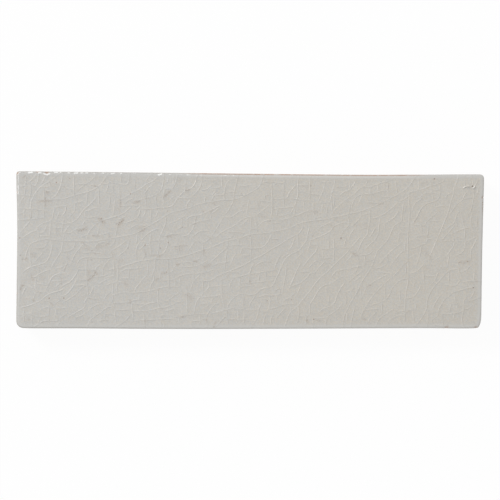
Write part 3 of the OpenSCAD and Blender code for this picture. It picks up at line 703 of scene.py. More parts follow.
# Beads of glaze with a painted glint: both ends, then radius, all in pixels, then strength
glint_beads_px = [
    (17.9, 174.6, 18.8, 173, 0.5, 0.6), (18.8, 173, 20.5, 172.2, 0.5, 0.7),
    (18.4, 176, 18.4, 183, 0.45, 0.65), (18.3, 186, 18.3, 188.5, 0.6, 0.8),
    (18, 191, 18, 194, 0.55, 0.85), (28.5, 172.8, 32.5, 172.2, 0.7, 1.0),
    (38.2, 173, 41, 172.7, 0.6, 0.9), (44, 173.8, 46.8, 174.9, 0.7, 1.0),
    (46.8, 174.9, 49.2, 173.9, 0.7, 1.0), (54.5, 172.6, 57.5, 172.4, 0.6, 0.8),
    (60.2, 172.4, 61.2, 172.4, 0.6, 0.8), (68, 172.8, 69.5, 172.8, 0.6, 0.8),
    (74.3, 173.4, 77.5, 172.9, 0.7, 1.0), (80.5, 173, 83, 172.8, 0.6, 0.7),
    (86, 173, 87.5, 173, 0.6, 0.7), (93.5, 173.4, 95, 173.4, 0.5, 0.6),
    (102.5, 173.2, 103.8, 173.2, 0.6, 0.7), (111, 173.8, 115, 173.2, 0.6, 0.7),
    (120.4, 173.7, 121.8, 173.3, 0.6, 0.6), (132, 173.6, 135.5, 173.4, 0.5, 0.5),
    (158.7, 174.9, 161.2, 174.2, 0.8, 1.0), (169, 174.6, 171.3, 174.5, 0.6, 0.6),
    (177.5, 174.9, 183, 174.8, 0.5, 0.45), (186.5, 175, 190, 174.9, 0.6, 0.6),
    (200, 175.1, 203, 175.1, 0.5, 0.45), (223.5, 175.5, 226.5, 175.4, 0.6, 0.5),
    (233, 175.6, 236, 175.6, 0.5, 0.45), (251, 175.9, 253, 175.9, 0.6, 0.5),
    (463.5, 188, 465, 186.6, 0.4, 0.6), (465, 186.4, 467, 186, 0.35, 0.3),
    (472.8, 188, 474.6, 186.4, 0.45, 0.65), (471, 185.4, 471.4, 186.4, 0.35, 0.5),
    (483.8, 197.9, 484, 198.4, 0.55, 1.2),
]
print(len(pits), "pits,", len(nicks), "nicks,", len(stains_and_shade_px), "stains and", len(glint_beads_px), "beads")

# %% [markdown]
# A net's points are taken in order of need, and a later one is left out where it would crowd an
# earlier one. The ring at the net's border always stays, because the next part joins it there.

# %% A net that keeps its points apart
net_cell = 0.5 * MM
merge_distance = 0.001 * MM


class PointNet:
    """Points on a plane, none nearer to another than the gap that it came with."""

    def __init__(self, border):
        self.border = border
        self.inner = []
        self.cells = defaultdict(list)
        for p in border:
            self.keep(p)

    def keep(self, p):
        """Notes a point in its cell."""
        self.cells[math.floor(p.x / net_cell), math.floor(p.y / net_cell)].append(p)

    def crowded(self, p, gap):
        """Whether another point is nearer than the gap."""
        i, j = math.floor(p.x / net_cell), math.floor(p.y / net_cell)
        reach = math.ceil(gap / net_cell)
        span = range(-reach, reach + 1)
        near = (q for a in span for b in span for q in self.cells.get((i + a, j + b), ()))
        return any((p - q).length < gap for q in near)

    def add(self, points, gap, border_inset):
        """Takes in those points that lie far enough inside the border and from the others."""
        for p in points:
            if inset_of(p) > border_inset and not self.crowded(p, gap):
                self.keep(p)
                self.inner.append(p)

    def triangles(self):
        """All the points, border first, and the triangles between them, as indices."""
        points = [*self.border, *self.inner]
        found = delaunay_2d_cdt(points, [], [range(len(self.border))], 1, merge_distance)
        origin = [sources[0] for sources in found[3]]
        return points, [[origin[v] for v in face] for face in found[2]]


# %% Rows, rings and scattered points
def rows_beside(path, offsets):
    """Points beside a path, to both sides by each offset."""
    for i, p in enumerate(path):
        along = (path[min(i + 1, len(path) - 1)] - path[max(i - 1, 0)]).normalized()
        for offset in offsets:
            for side in (-offset, offset):
                yield p + Vector((-along.y, along.x)) * side


def ring_of_points(middle, radius, number):
    """Points evenly round a circle."""
    turns = (2 * math.pi * n / number for n in range(number))
    return [middle + radius * Vector((math.cos(a), math.sin(a))) for a in turns]


def scattered(step, seed):
    """A grid over the tile with each point moved at random by up to a quarter of a step."""
    rng = random.Random(seed)
    for i in range(math.floor(tile_low.x / step), math.ceil(tile_high.x / step)):
        for j in range(math.floor(tile_low.y / step), math.ceil(tile_high.y / step)):
            x, y = i + rng.uniform(-0.25, 0.25), j + rng.uniform(-0.25, 0.25)
            yield Vector((x * step, y * step))


# %% The net of the face
net_inset = 0.2 * MM
mark_step = 0.2 * MM
fill_step = 1.4 * MM
rim_ring_shares = (0.21, 0.3, 0.4, 0.53, 0.7, 0.9, 1.2)
pit_rings = ((0, 1), (0.35, 6), (0.65, 9), (0.9, 12), (1.15, 14), (1.5, 14), (2, 14))
blister_rows = (0.1 * MM, 0.2 * MM, 0.32 * MM)
old_crack_rows = (0.09 * MM, 0.2 * MM, 0.36 * MM)
hairline_rows = (0.085 * MM, 0.19 * MM, 0.34 * MM)
stroke_shares = (0, 0.6, 1.2)

old_cracks = [*long_cracks, *branch_cracks, *grown_branches]
blister = smooth_path([on_face(*p) for p in blister_px], mark_step)

face_net = PointNet(ring_at(net_inset))
for share in rim_ring_shares:
    face_net.add(ring_at(share * rim_width), 0.08 * MM, net_inset)
for path in [blister, *old_cracks, *hairlines]:
    face_net.add(path, 0.1 * MM, 2 * net_inset)
for x, y, radius, *rest in pits.values():
    for share, number in pit_rings:
        ring = ring_of_points(on_face(x, y), share * radius * MM, number)
        face_net.add(ring, 0.07 * MM, 2 * net_inset)
face_net.add(rows_beside(blister, blister_rows), 0.07 * MM, 2 * net_inset)
for cracks, rows, gap in ((old_cracks, old_crack_rows, 0.085 * MM), (hairlines, hairline_rows, 0.08 * MM)):
    for offset in rows:
        for path in cracks:
            face_net.add(rows_beside(path, [offset]), gap, 2 * net_inset)
for x1, y1, x2, y2, radius, strength in [*glint_beads_px, *stains_and_shade_px]:
    stroke = smooth_path([on_face(x1, y1), on_face(x2, y2)], mark_step)
    offsets = [share * radius * px for share in stroke_shares]
    face_net.add(rows_beside(stroke, offsets), 0.12 * MM, 1.2 * net_inset)
face_net.add(scattered(fill_step, seed=3), 0.5 * MM, 2 * net_inset)
face_points, face_triangles = face_net.triangles()
print("face net:", len(face_points), "points,", len(face_triangles), "triangles")

# %% [markdown]
# The back is a net too. Four grooves were pressed into it so that the adhesive grips, and they are
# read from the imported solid, with their edges a little softened.

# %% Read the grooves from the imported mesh
inner_points = [p for p in cad_points if p[2] < half_height and inset_of(p) > near_side]
groove_z = max(z for x, y, z in inner_points)
floor_points = [(x, y) for x, y, z in inner_points if abs(z - groove_z) < hair]
floor_rows = sorted({y for x, y in floor_points})
row_breaks = [i + 1 for i in range(len(floor_rows) - 1) if floor_rows[i + 1] - floor_rows[i] > 2 * MM]
grooves = []
for start, end in zip([0, *row_breaks], [*row_breaks, len(floor_rows)]):
    middle_y = (floor_rows[start] + floor_rows[end - 1]) / 2
    floor_radius = (floor_rows[end - 1] - floor_rows[start]) / 2
    run = max(x for x, y in floor_points) - floor_radius
    mouth = [
        y for x, y, z in cad_points
        if z < hair and abs(y - middle_y) < 2 * floor_radius and abs(x) < run + hair
    ]
    grooves.append((middle_y, run, floor_radius, max(mouth) - middle_y))
print(len(grooves), "grooves,", f"{groove_z / MM:.2f} mm deep")

# %% The net of the back
groove_edge = 0.12 * MM
groove_shares = (-0.4, 0, 0.25, 0.5, 0.75, 1, 1.6)
groove_step, back_step = 1.1 * MM, 2.2 * MM


def groove_distance(p, groove):
    """How far a point of the back is from a groove's middle line."""
    middle_y, run = groove[:2]
    return (Vector((p.x, p.y)) - Vector((min(max(p.x, -run), run), middle_y))).length


def back_height(p):
    """Height of the back, which is 0 except in the grooves."""
    height = 0
    for groove in grooves:
        floor_radius, mouth_radius = groove[2:]
        wall = mouth_radius + groove_edge - groove_distance(p, groove)
        height = max(height, groove_z * ease(wall / (mouth_radius - floor_radius + 2 * groove_edge)))
    return height


def round_groove(groove, distance, step):
    """Points all round a groove at a distance from its middle line."""
    middle_y, run = groove[:2]
    straight = math.ceil(2 * run / step)
    bend = math.ceil(math.pi * distance / step)
    for side in (1, -1):
        for n in range(straight):
            yield Vector((side * run * (1 - 2 * n / straight), middle_y + side * distance))
        for n in range(bend):
            turn = math.pi * (0.5 + n / bend)
            x, y = distance * math.cos(turn) - run, distance * math.sin(turn)
            yield Vector((side * x, middle_y + side * y))


back_net = PointNet(ring_at(back_inset))
for groove in grooves:
    floor_radius, mouth_radius = groove[2:]
    wall = mouth_radius - floor_radius + 2 * groove_edge
    for share in groove_shares:
        distance = floor_radius - groove_edge + share * wall
        back_net.add(round_groove(groove, distance, groove_step), 0.12 * MM, back_inset)
back_net.add(ring_at(1.6 * back_inset), 0.2 * MM, back_inset)
back_net.add(scattered(back_step, seed=5), 0.7 * MM, 1.5 * back_inset)
back_points, back_triangles = back_net.triangles()
print("back net:", len(back_points), "points,", len(back_triangles), "triangles")

# %% [markdown]
# ## The side
# The glaze was poured over the face, ran about 3 mm down the side and stopped in a wavy lip. Below
# it the clay is bare. Along the middle of the upper side the glaze fell short and thinned out over
# the edge, and that is the thin clay-coloured line at the top of the photograph.
#
# The side is a grid: rings from the border of the face down to the border of the back.

# %% How far the glaze runs down at each point of the outline
short_from, short_to = on_face(176, 0).x, on_face(434, 0).x
short_fade = 11 * MM
lip_wave, lip_ripple = 0.9 * MM, 0.35 * MM
thin_reach = 0.55 * MM
rim_zone = 1.6 * MM
gloss_to, gloss_fade = on_face(150, 0).x, 12 * MM
welt_inset, welt_half = 0.85 * MM, 0.25 * MM


def waver(p, wavelength, seed):
    """Smooth noise from -1 to 1 along the outline."""
    return noise.noise(Vector((p.x / wavelength, p.y / wavelength, seed)))


glaze_short, gloss_along, lip_heights = [], [], []
for p, straight in zip(outline, straight_in):
    middle_share = ease((p.x - short_from) / short_fade) * ease((short_to - p.x) / short_fade)
    short = middle_share * ease(-straight.y * 4 - 2)
    short *= 0.8 + 0.2 * waver(p, 5 * MM, 4.5)
    wavy = lip_z + lip_wave * waver(p, 9 * MM, 1.5) + lip_ripple * waver(p, 2.5 * MM, 2.5)
    glaze_short.append(short)
    upper_left = ease((gloss_to - p.x) / gloss_fade) * ease(2 * p.y / gloss_fade)
    gloss_along.append(upper_left * ease(0.6 + 2.5 * waver(p, 1.4 * MM, 6.5)))
    lip_heights.append(wavy + short * (rim_base_z - 2 * glaze_thickness - lip_z))
print(f"the lip lies between {min(lip_heights) / MM:.1f} and {max(lip_heights) / MM:.1f} mm up")

# %% The rings of the side
roll_steps, side_steps, lip_steps, clay_steps, round_steps = 4, 2, 3, 6, 3


def side_section(lip, thickness):
    """Inset, height and kind of each ring, from the border of the face down to that of the back."""
    for n in range(1, roll_steps + 1):
        inset = net_inset * (1 - n / roll_steps) ** 2
        yield inset, face_height(inset), "roll"
    for n in range(1, side_steps + 1):
        yield 0, rim_base_z + (lip + thickness - rim_base_z) * n / side_steps, "glaze"
    for n in range(1, lip_steps + 1):
        a = math.pi / 2 * n / lip_steps
        yield thickness * (1 - math.cos(a)), lip + thickness * (1 - math.sin(a)), "glaze"
    for n in range(1, clay_steps + 1):
        share = n / clay_steps
        yield thickness + (foot_inset - thickness) * share, lip + (foot_z - lip) * share, "clay"
    for n in range(1, round_steps + 1):
        a = math.pi / 2 * n / round_steps
        yield foot_inset + (back_inset - foot_inset) * (1 - math.cos(a)), foot_z * (1 - math.sin(a)), "clay"


sections = [
    list(side_section(lip, glaze_thickness * (1 - 0.75 * short)))
    for lip, short in zip(lip_heights, glaze_short)
]
print("side:", len(sections[0]), "rings of", len(sections), "points")

# %% Lay down the face
skin_points = []
skin_faces = []
shares = {"facing": [], "rim": [], "arris": [], "gloss": [], "bare": [], "welt": [], "clay": []}
rim_facing, facing_reach = 0.3, 0.6 * MM


def put(point, z, **given):
    """Adds a point to the skin, with its share of each thing that is not none, and gives its number."""
    skin_points.append((point.x, point.y, z))
    for name, values in shares.items():
        values.append(given.get(name, 0))
    return len(skin_points) - 1


for i, p in enumerate(face_points):
    inset = net_inset if i < outline_count else inset_of(p)
    nearest = nearest_on_outline(p)
    facing = rim_facing + (1 - rim_facing) * ease(inset / facing_reach)
    rim = ease((rim_zone - inset) / (0.4 * rim_zone))
    edge = ease((thin_reach - inset) / (thin_reach - net_inset))
    # A welt inside the thin upper edge: it is raised a little, and the glaze paints a highlight along it.
    welt = math.exp(-(((inset - welt_inset) / welt_half) ** 2)) * glaze_short[nearest]
    gloss, bare = rim * gloss_along[nearest], edge * glaze_short[nearest]
    put(p, face_height(inset), facing=facing, rim=rim, arris=edge, gloss=gloss, bare=bare, welt=welt)
skin_faces += face_triangles
print("face:", len(skin_faces), "triangles")

# %% Add the side, ring by ring
ring_before = list(range(outline_count))
for level in range(len(sections[0])):
    ring = []
    for i, (p, direction) in enumerate(zip(outline, blended_in)):
        inset, z, part = sections[i][level]
        if part == "clay":
            given = {"clay": 1}
        elif part == "roll":
            given = {"rim": 1, "arris": 1, "gloss": gloss_along[i], "bare": glaze_short[i]}
        else:
            given = {"rim": 1, "bare": glaze_short[i]}
        ring.append(put(p + direction * inset, z, **given))
    for i in range(outline_count):
        j = (i + 1) % outline_count
        skin_faces.append([ring_before[j], ring_before[i], ring[i], ring[j]])
    ring_before = ring
print("with the side:", len(skin_faces), "faces")

# %% Add the back and close the skin
back_start = len(skin_points)
for p in back_points[outline_count:]:
    put(p, back_height(p), clay=1)


def back_number(i):
    """The skin's number of a point of the back net, whose border is the side's last ring."""
    return ring_before[i] if i < outline_count else back_start + i - outline_count


skin_faces += [[back_number(i) for i in reversed(triangle)] for triangle in back_triangles]

skin_mesh = bpy.data.meshes.new("tile skin")
skin_mesh.from_pydata(skin_points, [], skin_faces)
for name, values in shares.items():
    skin_mesh.attributes.new(name, "FLOAT", "POINT").data.foreach_set("value", values)
skin_mesh.shade_smooth()
skin = bpy.data.objects.new("tile skin", skin_mesh)
bpy.context.scene.collection.objects.link(skin)

check = bmesh.new()
check.from_mesh(skin_mesh)
open_edges = sum(not e.is_manifold for e in check.edges)
volume = check.calc_volume()
check.free()
print(f"skin: {len(skin_points)} points, {open_edges} open edges, {volume / MM**3:.0f} cubic mm")

# %% [markdown]
# ## Finishes
# Colours are written as the photograph shows them and turned into Blender's linear values. The
# glaze is a warm off-white that is a touch cooler on the left. Its patterns all read Object
# coordinates, and its dirt, a few strokes of painted shade, its bare edge and the painted glint on
# its beads read attributes that the relief leaves on the skin.


# %% Helpers for node trees
def colour(red, green, blue):
    """A colour of the photograph, from 0 to 255, as Blender's linear colour."""
    linear = [((c / 255 + 0.055) / 1.055) ** 2.4 for c in (red, green, blue)]
    return (*linear, 1)


def add(tree, kind, inputs=None, **settings):
    """A new node, with its settings and with each input set to a value or joined to a socket."""
    node = tree.nodes.new(kind)
    for name, value in settings.items():
        setattr(node, name, value)
    for name, value in (inputs or {}).items():
        if isinstance(value, bpy.types.NodeSocket):
            tree.links.new(value, node.inputs[name])
        else:
            node.inputs[name].default_value = value
    return node


def maths(tree, operation, a, b=0.0, clamped=False):
    """The result of a Math node."""
    return add(tree, "ShaderNodeMath", {0: a, 1: b}, operation=operation, use_clamp=clamped).outputs[0]


def ranged(tree, value, low, high, to_low=0.0, to_high=1.0):
    """A value moved from one range to another, eased and clamped."""
    inputs = {"Value": value, "From Min": low, "From Max": high, "To Min": to_low, "To Max": to_high}
    return add(tree, "ShaderNodeMapRange", inputs, interpolation_type="SMOOTHSTEP").outputs["Result"]


# %% Noise, mixes and new materials
def speckle(tree, place, wavelength, detail=2.0, roughness=0.5):
    """Noise from 0 to 1 on Object coordinates, of a wavelength in metres."""
    inputs = {"Vector": place, "Scale": 1 / wavelength, "Detail": detail, "Roughness": roughness}
    return add(tree, "ShaderNodeTexNoise", inputs).outputs[0]


def moved(tree, place, distance):
    """Coordinates moved aside, so that a second pattern does not repeat the first."""
    return add(tree, "ShaderNodeVectorMath", {0: place, 1: (distance,) * 3}, operation="ADD").outputs[0]


def blend(tree, share, a, b, kind="MIX"):
    """Two colours mixed."""
    node = add(tree, "ShaderNodeMix", data_type="RGBA", blend_type=kind)
    for socket, value in ((node.inputs[0], share), (node.inputs[6], a), (node.inputs[7], b)):
        if isinstance(value, bpy.types.NodeSocket):
            tree.links.new(value, socket)
        else:
            socket.default_value = value
    return node.outputs[2]


def named(tree, name):
    """A number that the skin carries at each point."""
    return add(tree, "ShaderNodeAttribute", attribute_name=name).outputs["Fac"]


def new_material(name):
    """A material, its tree, its shader and its Object coordinates."""
    material = bpy.data.materials.new(name)
    material.use_nodes = True
    tree = material.node_tree
    shader = next(node for node in tree.nodes if node.type == "BSDF_PRINCIPLED")
    place = add(tree, "ShaderNodeTexCoord").outputs["Object"]
    return material, tree, shader, place


# %% The clay
def clay_colour(tree, place):
    """Pinkish buff clay with paler grains and a few dark ones."""
    body = blend(tree, speckle(tree, place, 6 * MM, 4), colour(170, 136, 116), colour(194, 161, 139))
    grains = ranged(tree, speckle(tree, place, 0.5 * MM, 2), 0.58, 0.7)
    body = blend(tree, maths(tree, "MULTIPLY", grains, 0.6), body, colour(221, 196, 176))
    dark = ranged(tree, speckle(tree, place, 0.9 * MM, 1), 0.68, 0.76)
    return blend(tree, maths(tree, "MULTIPLY", dark, 0.55), body, colour(122, 88, 70))


def clay_finish():
    """The bare side and back."""
    material, tree, shader, place = new_material("bare clay")
    bloom = ranged(tree, speckle(tree, place, 14 * MM, 3), 0.5, 0.75)
    bloom = maths(tree, "MULTIPLY", bloom, 0.35)
    body = blend(tree, bloom, clay_colour(tree, place), colour(214, 196, 180))
    tree.links.new(body, shader.inputs["Base Color"])
    shader.inputs["Roughness"].default_value = 0.9
    shader.inputs["Specular IOR Level"].default_value = 0.25
    grain = maths(tree, "ADD", speckle(tree, place, 0.35 * MM, 3, 0.7), speckle(tree, place, 1.6 * MM, 3))
    bump = add(tree, "ShaderNodeBump", {"Height": grain, "Strength": 0.6, "Distance": 0.12 * MM})
    tree.links.new(bump.outputs["Normal"], shader.inputs["Normal"])
    return material


# %% [markdown]
# The glaze's colour is built up in layers: the clean glaze first, with painted shade on the rim's turn
# and a painted highlight inside the thin upper edge, then the brown dots that the firing left, then the
# edge where clay shines through, and last the dirt with a few strokes of painted shade, and the beads
# with their painted glint.

# %% The clean glaze
def clean_glaze(tree, place, right):
    """Off-white, cooler on the left, with clouds and grit, paler at the rim, with painted highlight and
    painted shade at the edge.
    """
    warm = maths(tree, "ADD", right, maths(tree, "MULTIPLY", speckle(tree, place, 18 * MM, 3), 0.8))
    body = blend(tree, ranged(tree, warm, 0.2, 1.5), colour(196, 195, 191), colour(198, 193, 183))
    cloud = ranged(tree, speckle(tree, place, 7 * MM, 4, 0.8), 0.3, 0.7, 0.976, 1.03)
    body = blend(tree, 1.0, body, cloud, "MULTIPLY")

    tint = ranged(tree, speckle(tree, place, 0.42 * MM, 3, 0.7), 0.3, 0.7)
    body = blend(tree, 0.5, body, blend(tree, tint, colour(187, 190, 192), colour(203, 193, 178)))
    grit = ranged(tree, speckle(tree, moved(tree, place, 0.05), 0.4 * MM, 3, 0.7), 0.3, 0.7, 0.92, 1.08)
    body = blend(tree, 1.0, body, grit, "MULTIPLY")

    # The glaze is made paler within the rim zone.
    rim_paling = maths(tree, "MULTIPLY", named(tree, "rim"), 0.7)
    body = blend(tree, rim_paling, body, colour(200, 199, 196))
    # Painted highlight along the welt inside the thin upper edge.
    thick = maths(tree, "MULTIPLY", named(tree, "welt"), 0.62)
    body = blend(tree, thick, body, colour(218, 215, 209))
    # Painted shade on the rim's turn, darker towards the left.
    painted_edge_shade = maths(tree, "MULTIPLY", named(tree, "arris"), ranged(tree, right, 0.15, 0.6, 0.72, 0.38))
    return blend(tree, painted_edge_shade, body, colour(172, 168, 162))


# %% Brown dots
def dotted(tree, place, right, body):
    """The glaze with small brown dots, most of them on the left, in clusters."""
    wobble = {"Vector": place, "Scale": 1 / (0.6 * MM), "Detail": 2.0}
    shaken = add(tree, "ShaderNodeTexNoise", wobble).outputs["Color"]
    shaken = add(tree, "ShaderNodeVectorMath", {0: shaken, "Scale": 0.5 * MM}, operation="SCALE").outputs[0]
    shaken = add(tree, "ShaderNodeVectorMath", {0: place, 1: shaken}, operation="ADD").outputs[0]
    zone = ranged(tree, speckle(tree, place, 10 * MM, 3), 0.42, 0.54)
    zone = maths(tree, "MULTIPLY", zone, ranged(tree, right, 0.65, 0.2, 0.12))
    for spacing, reach, share, everywhere in ((7 * MM, 0.05, 0.28, 0.6), (2.4 * MM, 0.13, 0.7, 0.0)):
        cells = add(tree, "ShaderNodeTexVoronoi", {"Vector": shaken, "Scale": 1 / spacing}).outputs
        dot = ranged(tree, cells["Distance"], reach, 0.4 * reach)
        chosen = add(tree, "ShaderNodeSeparateXYZ", {0: cells["Color"]}).outputs["X"]
        dot = maths(tree, "MULTIPLY", dot, ranged(tree, chosen, 0.35, 0.9, 0.0, share))
        dot = maths(tree, "MULTIPLY", dot, maths(tree, "MAXIMUM", zone, everywhere))
        body = blend(tree, dot, body, colour(138, 108, 88))
    return body


# %% Thin glaze, dirt with painted shade, and beads with a painted glint
def marked(tree, place, body):
    """The glaze with the marks that the skin carries, and how thin it is and how stained it is or painted
    with shade.
    """
    patchy = ranged(tree, speckle(tree, place, 1.2 * MM, 3, 0.6), 0.25, 0.5)
    thin = maths(tree, "MULTIPLY", named(tree, "bare"), patchy, clamped=True)
    body = blend(tree, thin, body, blend(tree, 0.45, clay_colour(tree, place), colour(146, 114, 92)))

    streak = speckle(tree, place, 0.38 * MM, 3, 0.7)
    broken = ranged(tree, streak, 0.42, 0.6, 0.12, 1.0)
    # Stains of dirt, and a few strokes that are painted shade.
    dirt = maths(tree, "MULTIPLY", named(tree, "dirt"), broken, clamped=True)
    core = ranged(tree, speckle(tree, moved(tree, place, 0.03), 0.35 * MM, 2), 0.42, 0.6)
    body = blend(tree, dirt, body, blend(tree, core, colour(168, 156, 144), colour(138, 114, 94)))
    body = blend(tree, named(tree, "speck"), body, colour(116, 80, 62))
    # Painted glint: the beads turn near-white.
    bead = ranged(tree, maths(tree, "ADD", named(tree, "bead"), streak), 0.75, 1.2)
    return blend(tree, bead, body, colour(240, 240, 238)), thin, dirt


# %% The glaze's surface
def glaze_finish():
    """Crackle glaze: a satin surface that is glossy on the upper left rim and dull where it is marked."""
    material, tree, shader, place = new_material("crackle glaze")
    across = add(tree, "ShaderNodeSeparateXYZ", {"Vector": place}).outputs["X"]
    right = ranged(tree, across, tile_low.x, tile_high.x)
    body = dotted(tree, place, right, clean_glaze(tree, place, right))
    body, thin, dirt = marked(tree, place, body)
    tree.links.new(body, shader.inputs["Base Color"])

    satin = ranged(tree, speckle(tree, place, 3 * MM, 3), 0.3, 0.7, 0.36, 0.48)
    gloss = maths(tree, "MULTIPLY", named(tree, "gloss"), 0.26)
    dull = maths(tree, "MULTIPLY", maths(tree, "MAXIMUM", thin, dirt), 0.3)
    rough = maths(tree, "ADD", maths(tree, "SUBTRACT", satin, gloss), dull, clamped=True)
    tree.links.new(rough, shader.inputs["Roughness"])
    peel = speckle(tree, place, 0.5 * MM, 3, 0.6)
    bump = add(tree, "ShaderNodeBump", {"Height": peel, "Strength": 0.35, "Distance": 0.02 * MM})
    tree.links.new(bump.outputs["Normal"], shader.inputs["Normal"])
    return material


glaze, bare_clay = glaze_finish(), clay_finish()
print("finishes:", glaze.name, "and", bare_clay.name)

# %% [markdown]
# ## Relief with Geometry Nodes
# The lines in the glaze are ridges less than 0.1 mm high. Moving the skin's points by hand would hide
# the rule, so a node tree does it: for each point it asks how far the nearest crack is, and lifts
# the point by a bell curve of that distance. Long cracks, branches and hairlines each go through
# the same small group with their own height and width, and where they cross the highest wins.
#
# The cracks reach the tree as meshes of edges. Each point on one carries its strength, which fades
# to the crack's ends and changes from crack to crack, and the direction across it, because the
# glaze often sits a hair higher on one side of a crack than on the other.


# %% Cracks as edges with strengths
square_gain = 0.5


def crack_object(name, cracks, seed):
    """The cracks as one mesh of edges, with a strength, a lean and a direction across at each point."""
    rng = random.Random(seed)
    points, edges, strengths, leans, across = [], [], [], [], []
    for path in cracks:
        weight = rng.uniform(0.92, 1.08)
        lean = rng.uniform(-1, 1)
        tail = min(2.5, len(path) / 3)
        for i, p in enumerate(path):
            along = (path[min(i + 1, len(path) - 1)] - path[max(i - 1, 0)]).normalized()
            wave = 1 + 0.2 * noise.noise(Vector((p.x, p.y, seed)) / (4 * MM))
            square = 1 + square_gain * (along.x**2 - along.y**2) ** 2
            points.append((p.x, p.y, 0))
            strengths.append(weight * wave * square * ease((i + 1) / tail) * ease((len(path) - i) / tail))
            leans.append(lean)
            across.append((-along.y, along.x, 0))
        start = len(points) - len(path)
        edges += [(start + i, start + i + 1) for i in range(len(path) - 1)]
    mesh = bpy.data.meshes.new(name)
    mesh.from_pydata(points, edges, [])
    mesh.attributes.new("strength", "FLOAT", "POINT").data.foreach_set("value", strengths)
    mesh.attributes.new("lean", "FLOAT", "POINT").data.foreach_set("value", leans)
    flat = [c for vector in across for c in vector]
    mesh.attributes.new("across", "FLOAT_VECTOR", "POINT").data.foreach_set("vector", flat)
    helper = bpy.data.objects.new(name, mesh)
    bpy.context.scene.collection.objects.link(helper)
    return helper


def marks_object(name, marks):
    """Each mark as one point or as an edge between two, with the named numbers that it carries."""
    points = [(p.x, p.y, 0) for mark in marks for p in mark["at"]]
    edges = [(i, i + 1) for i in range(0, len(points), 2)] if len(points) == 2 * len(marks) else []
    mesh = bpy.data.meshes.new(name)
    mesh.from_pydata(points, edges, [])
    for key in marks[0]:
        if key != "at":
            values = [mark[key] for mark in marks for p in mark["at"]]
            mesh.attributes.new(key, "FLOAT", "POINT").data.foreach_set("value", values)
    helper = bpy.data.objects.new(name, mesh)
    bpy.context.scene.collection.objects.link(helper)
    return helper


pit_marks = [
    {"at": [on_face(x, y)], "radius": radius * MM, "depth": depth * MM, "ring": ring * MM, "brown": brown}
    for x, y, radius, depth, ring, brown in pits.values()
]
nick_marks = [
    {"at": [on_face(x, y)], "radius": radius * MM, "depth": depth * MM, "ring": 0, "brown": brown}
    for x, y, radius, depth, brown in nicks.values()
]
stain_and_shade_marks = [
    {"at": [on_face(x1, y1), on_face(x2, y2)], "radius": 0.8 * radius * px, "brown": 0.95 * strength}
    for x1, y1, x2, y2, radius, strength in stains_and_shade_px
]
# The beads' strength, carried under brown, sets how high they stand and how strongly their painted glint
# shows.
glint_bead_marks = [
    {"at": [on_face(x1, y1), on_face(x2, y2)], "radius": radius * px, "brown": strength}
    for x1, y1, x2, y2, radius, strength in glint_beads_px
]
helpers = {
    "Long cracks": crack_object("long cracks", long_cracks, 21),
    "Branches": crack_object("branches", [*branch_cracks, *grown_branches], 22),
    "Hairlines": crack_object("hairlines", hairlines, 23),
    "Blister": crack_object("blister", [blister], 24),
    "Pits": marks_object("pits", pit_marks),
    "Nicks": marks_object("nicks", nick_marks),
    "Stains and shade": marks_object("stains", stain_and_shade_marks),
    "Beads with glint": marks_object("beads", glint_bead_marks),
}
print("helpers:", ", ".join(f"{name} {len(o.data.vertices)} points" for name, o in helpers.items()))


# %% Small groups of nodes
def interface(tree, direction, sockets):
    """Gives a tree named inputs or outputs, and returns the identifier of each by name."""
    kinds = {"geometry": "NodeSocketGeometry", "object": "NodeSocketObject", "number": "NodeSocketFloat",
             "length": "NodeSocketFloat", "vector": "NodeSocketVector", "material": "NodeSocketMaterial"}
    made = {}
    for name, kind in sockets.items():
        socket = tree.interface.new_socket(name, in_out=direction, socket_type=kinds[kind])
        if kind == "length":
            socket.subtype = "DISTANCE"
        made[name] = socket.identifier
    return made


def new_group(name, inputs, outputs):
    """An empty tree of nodes with its input and output nodes."""
    tree = bpy.data.node_groups.new(name, "GeometryNodeTree")
    interface(tree, "INPUT", inputs)
    interface(tree, "OUTPUT", outputs)
    return tree, add(tree, "NodeGroupInput").outputs, add(tree, "NodeGroupOutput").inputs


def carried(tree, geometry, name, index, kind="FLOAT"):
    """The value that a point of another geometry carries under a name."""
    value = add(tree, "GeometryNodeInputNamedAttribute", {"Name": name}, data_type=kind)
    sample = add(tree, "GeometryNodeSampleIndex", data_type=kind, domain="POINT")
    tree.links.new(geometry, sample.inputs["Geometry"])
    tree.links.new(value.outputs["Attribute"], sample.inputs["Value"])
    tree.links.new(index, sample.inputs["Index"])
    return sample.outputs["Value"]


def flat_position(tree):
    """Each point's place with its height taken away."""
    position = add(tree, "GeometryNodeInputPosition").outputs[0]
    return add(tree, "ShaderNodeVectorMath", {0: position, 1: (1, 1, 0)}, operation="MULTIPLY").outputs[0]


def nearest_point(tree, thing, place):
    """The geometry of an object, and the number of its point that is nearest to each place."""
    geometry = add(tree, "GeometryNodeObjectInfo", {"Object": thing}).outputs["Geometry"]
    sample = add(tree, "GeometryNodeSampleNearest", {"Geometry": geometry, "Sample Position": place})
    return geometry, sample.outputs["Index"]


def nearness(tree, geometry, place, what):
    """The node that finds how far each place is from a geometry's points or edges."""
    inputs = {"Geometry": geometry, "Source Position": place}
    return add(tree, "GeometryNodeProximity", inputs, target_element=what)


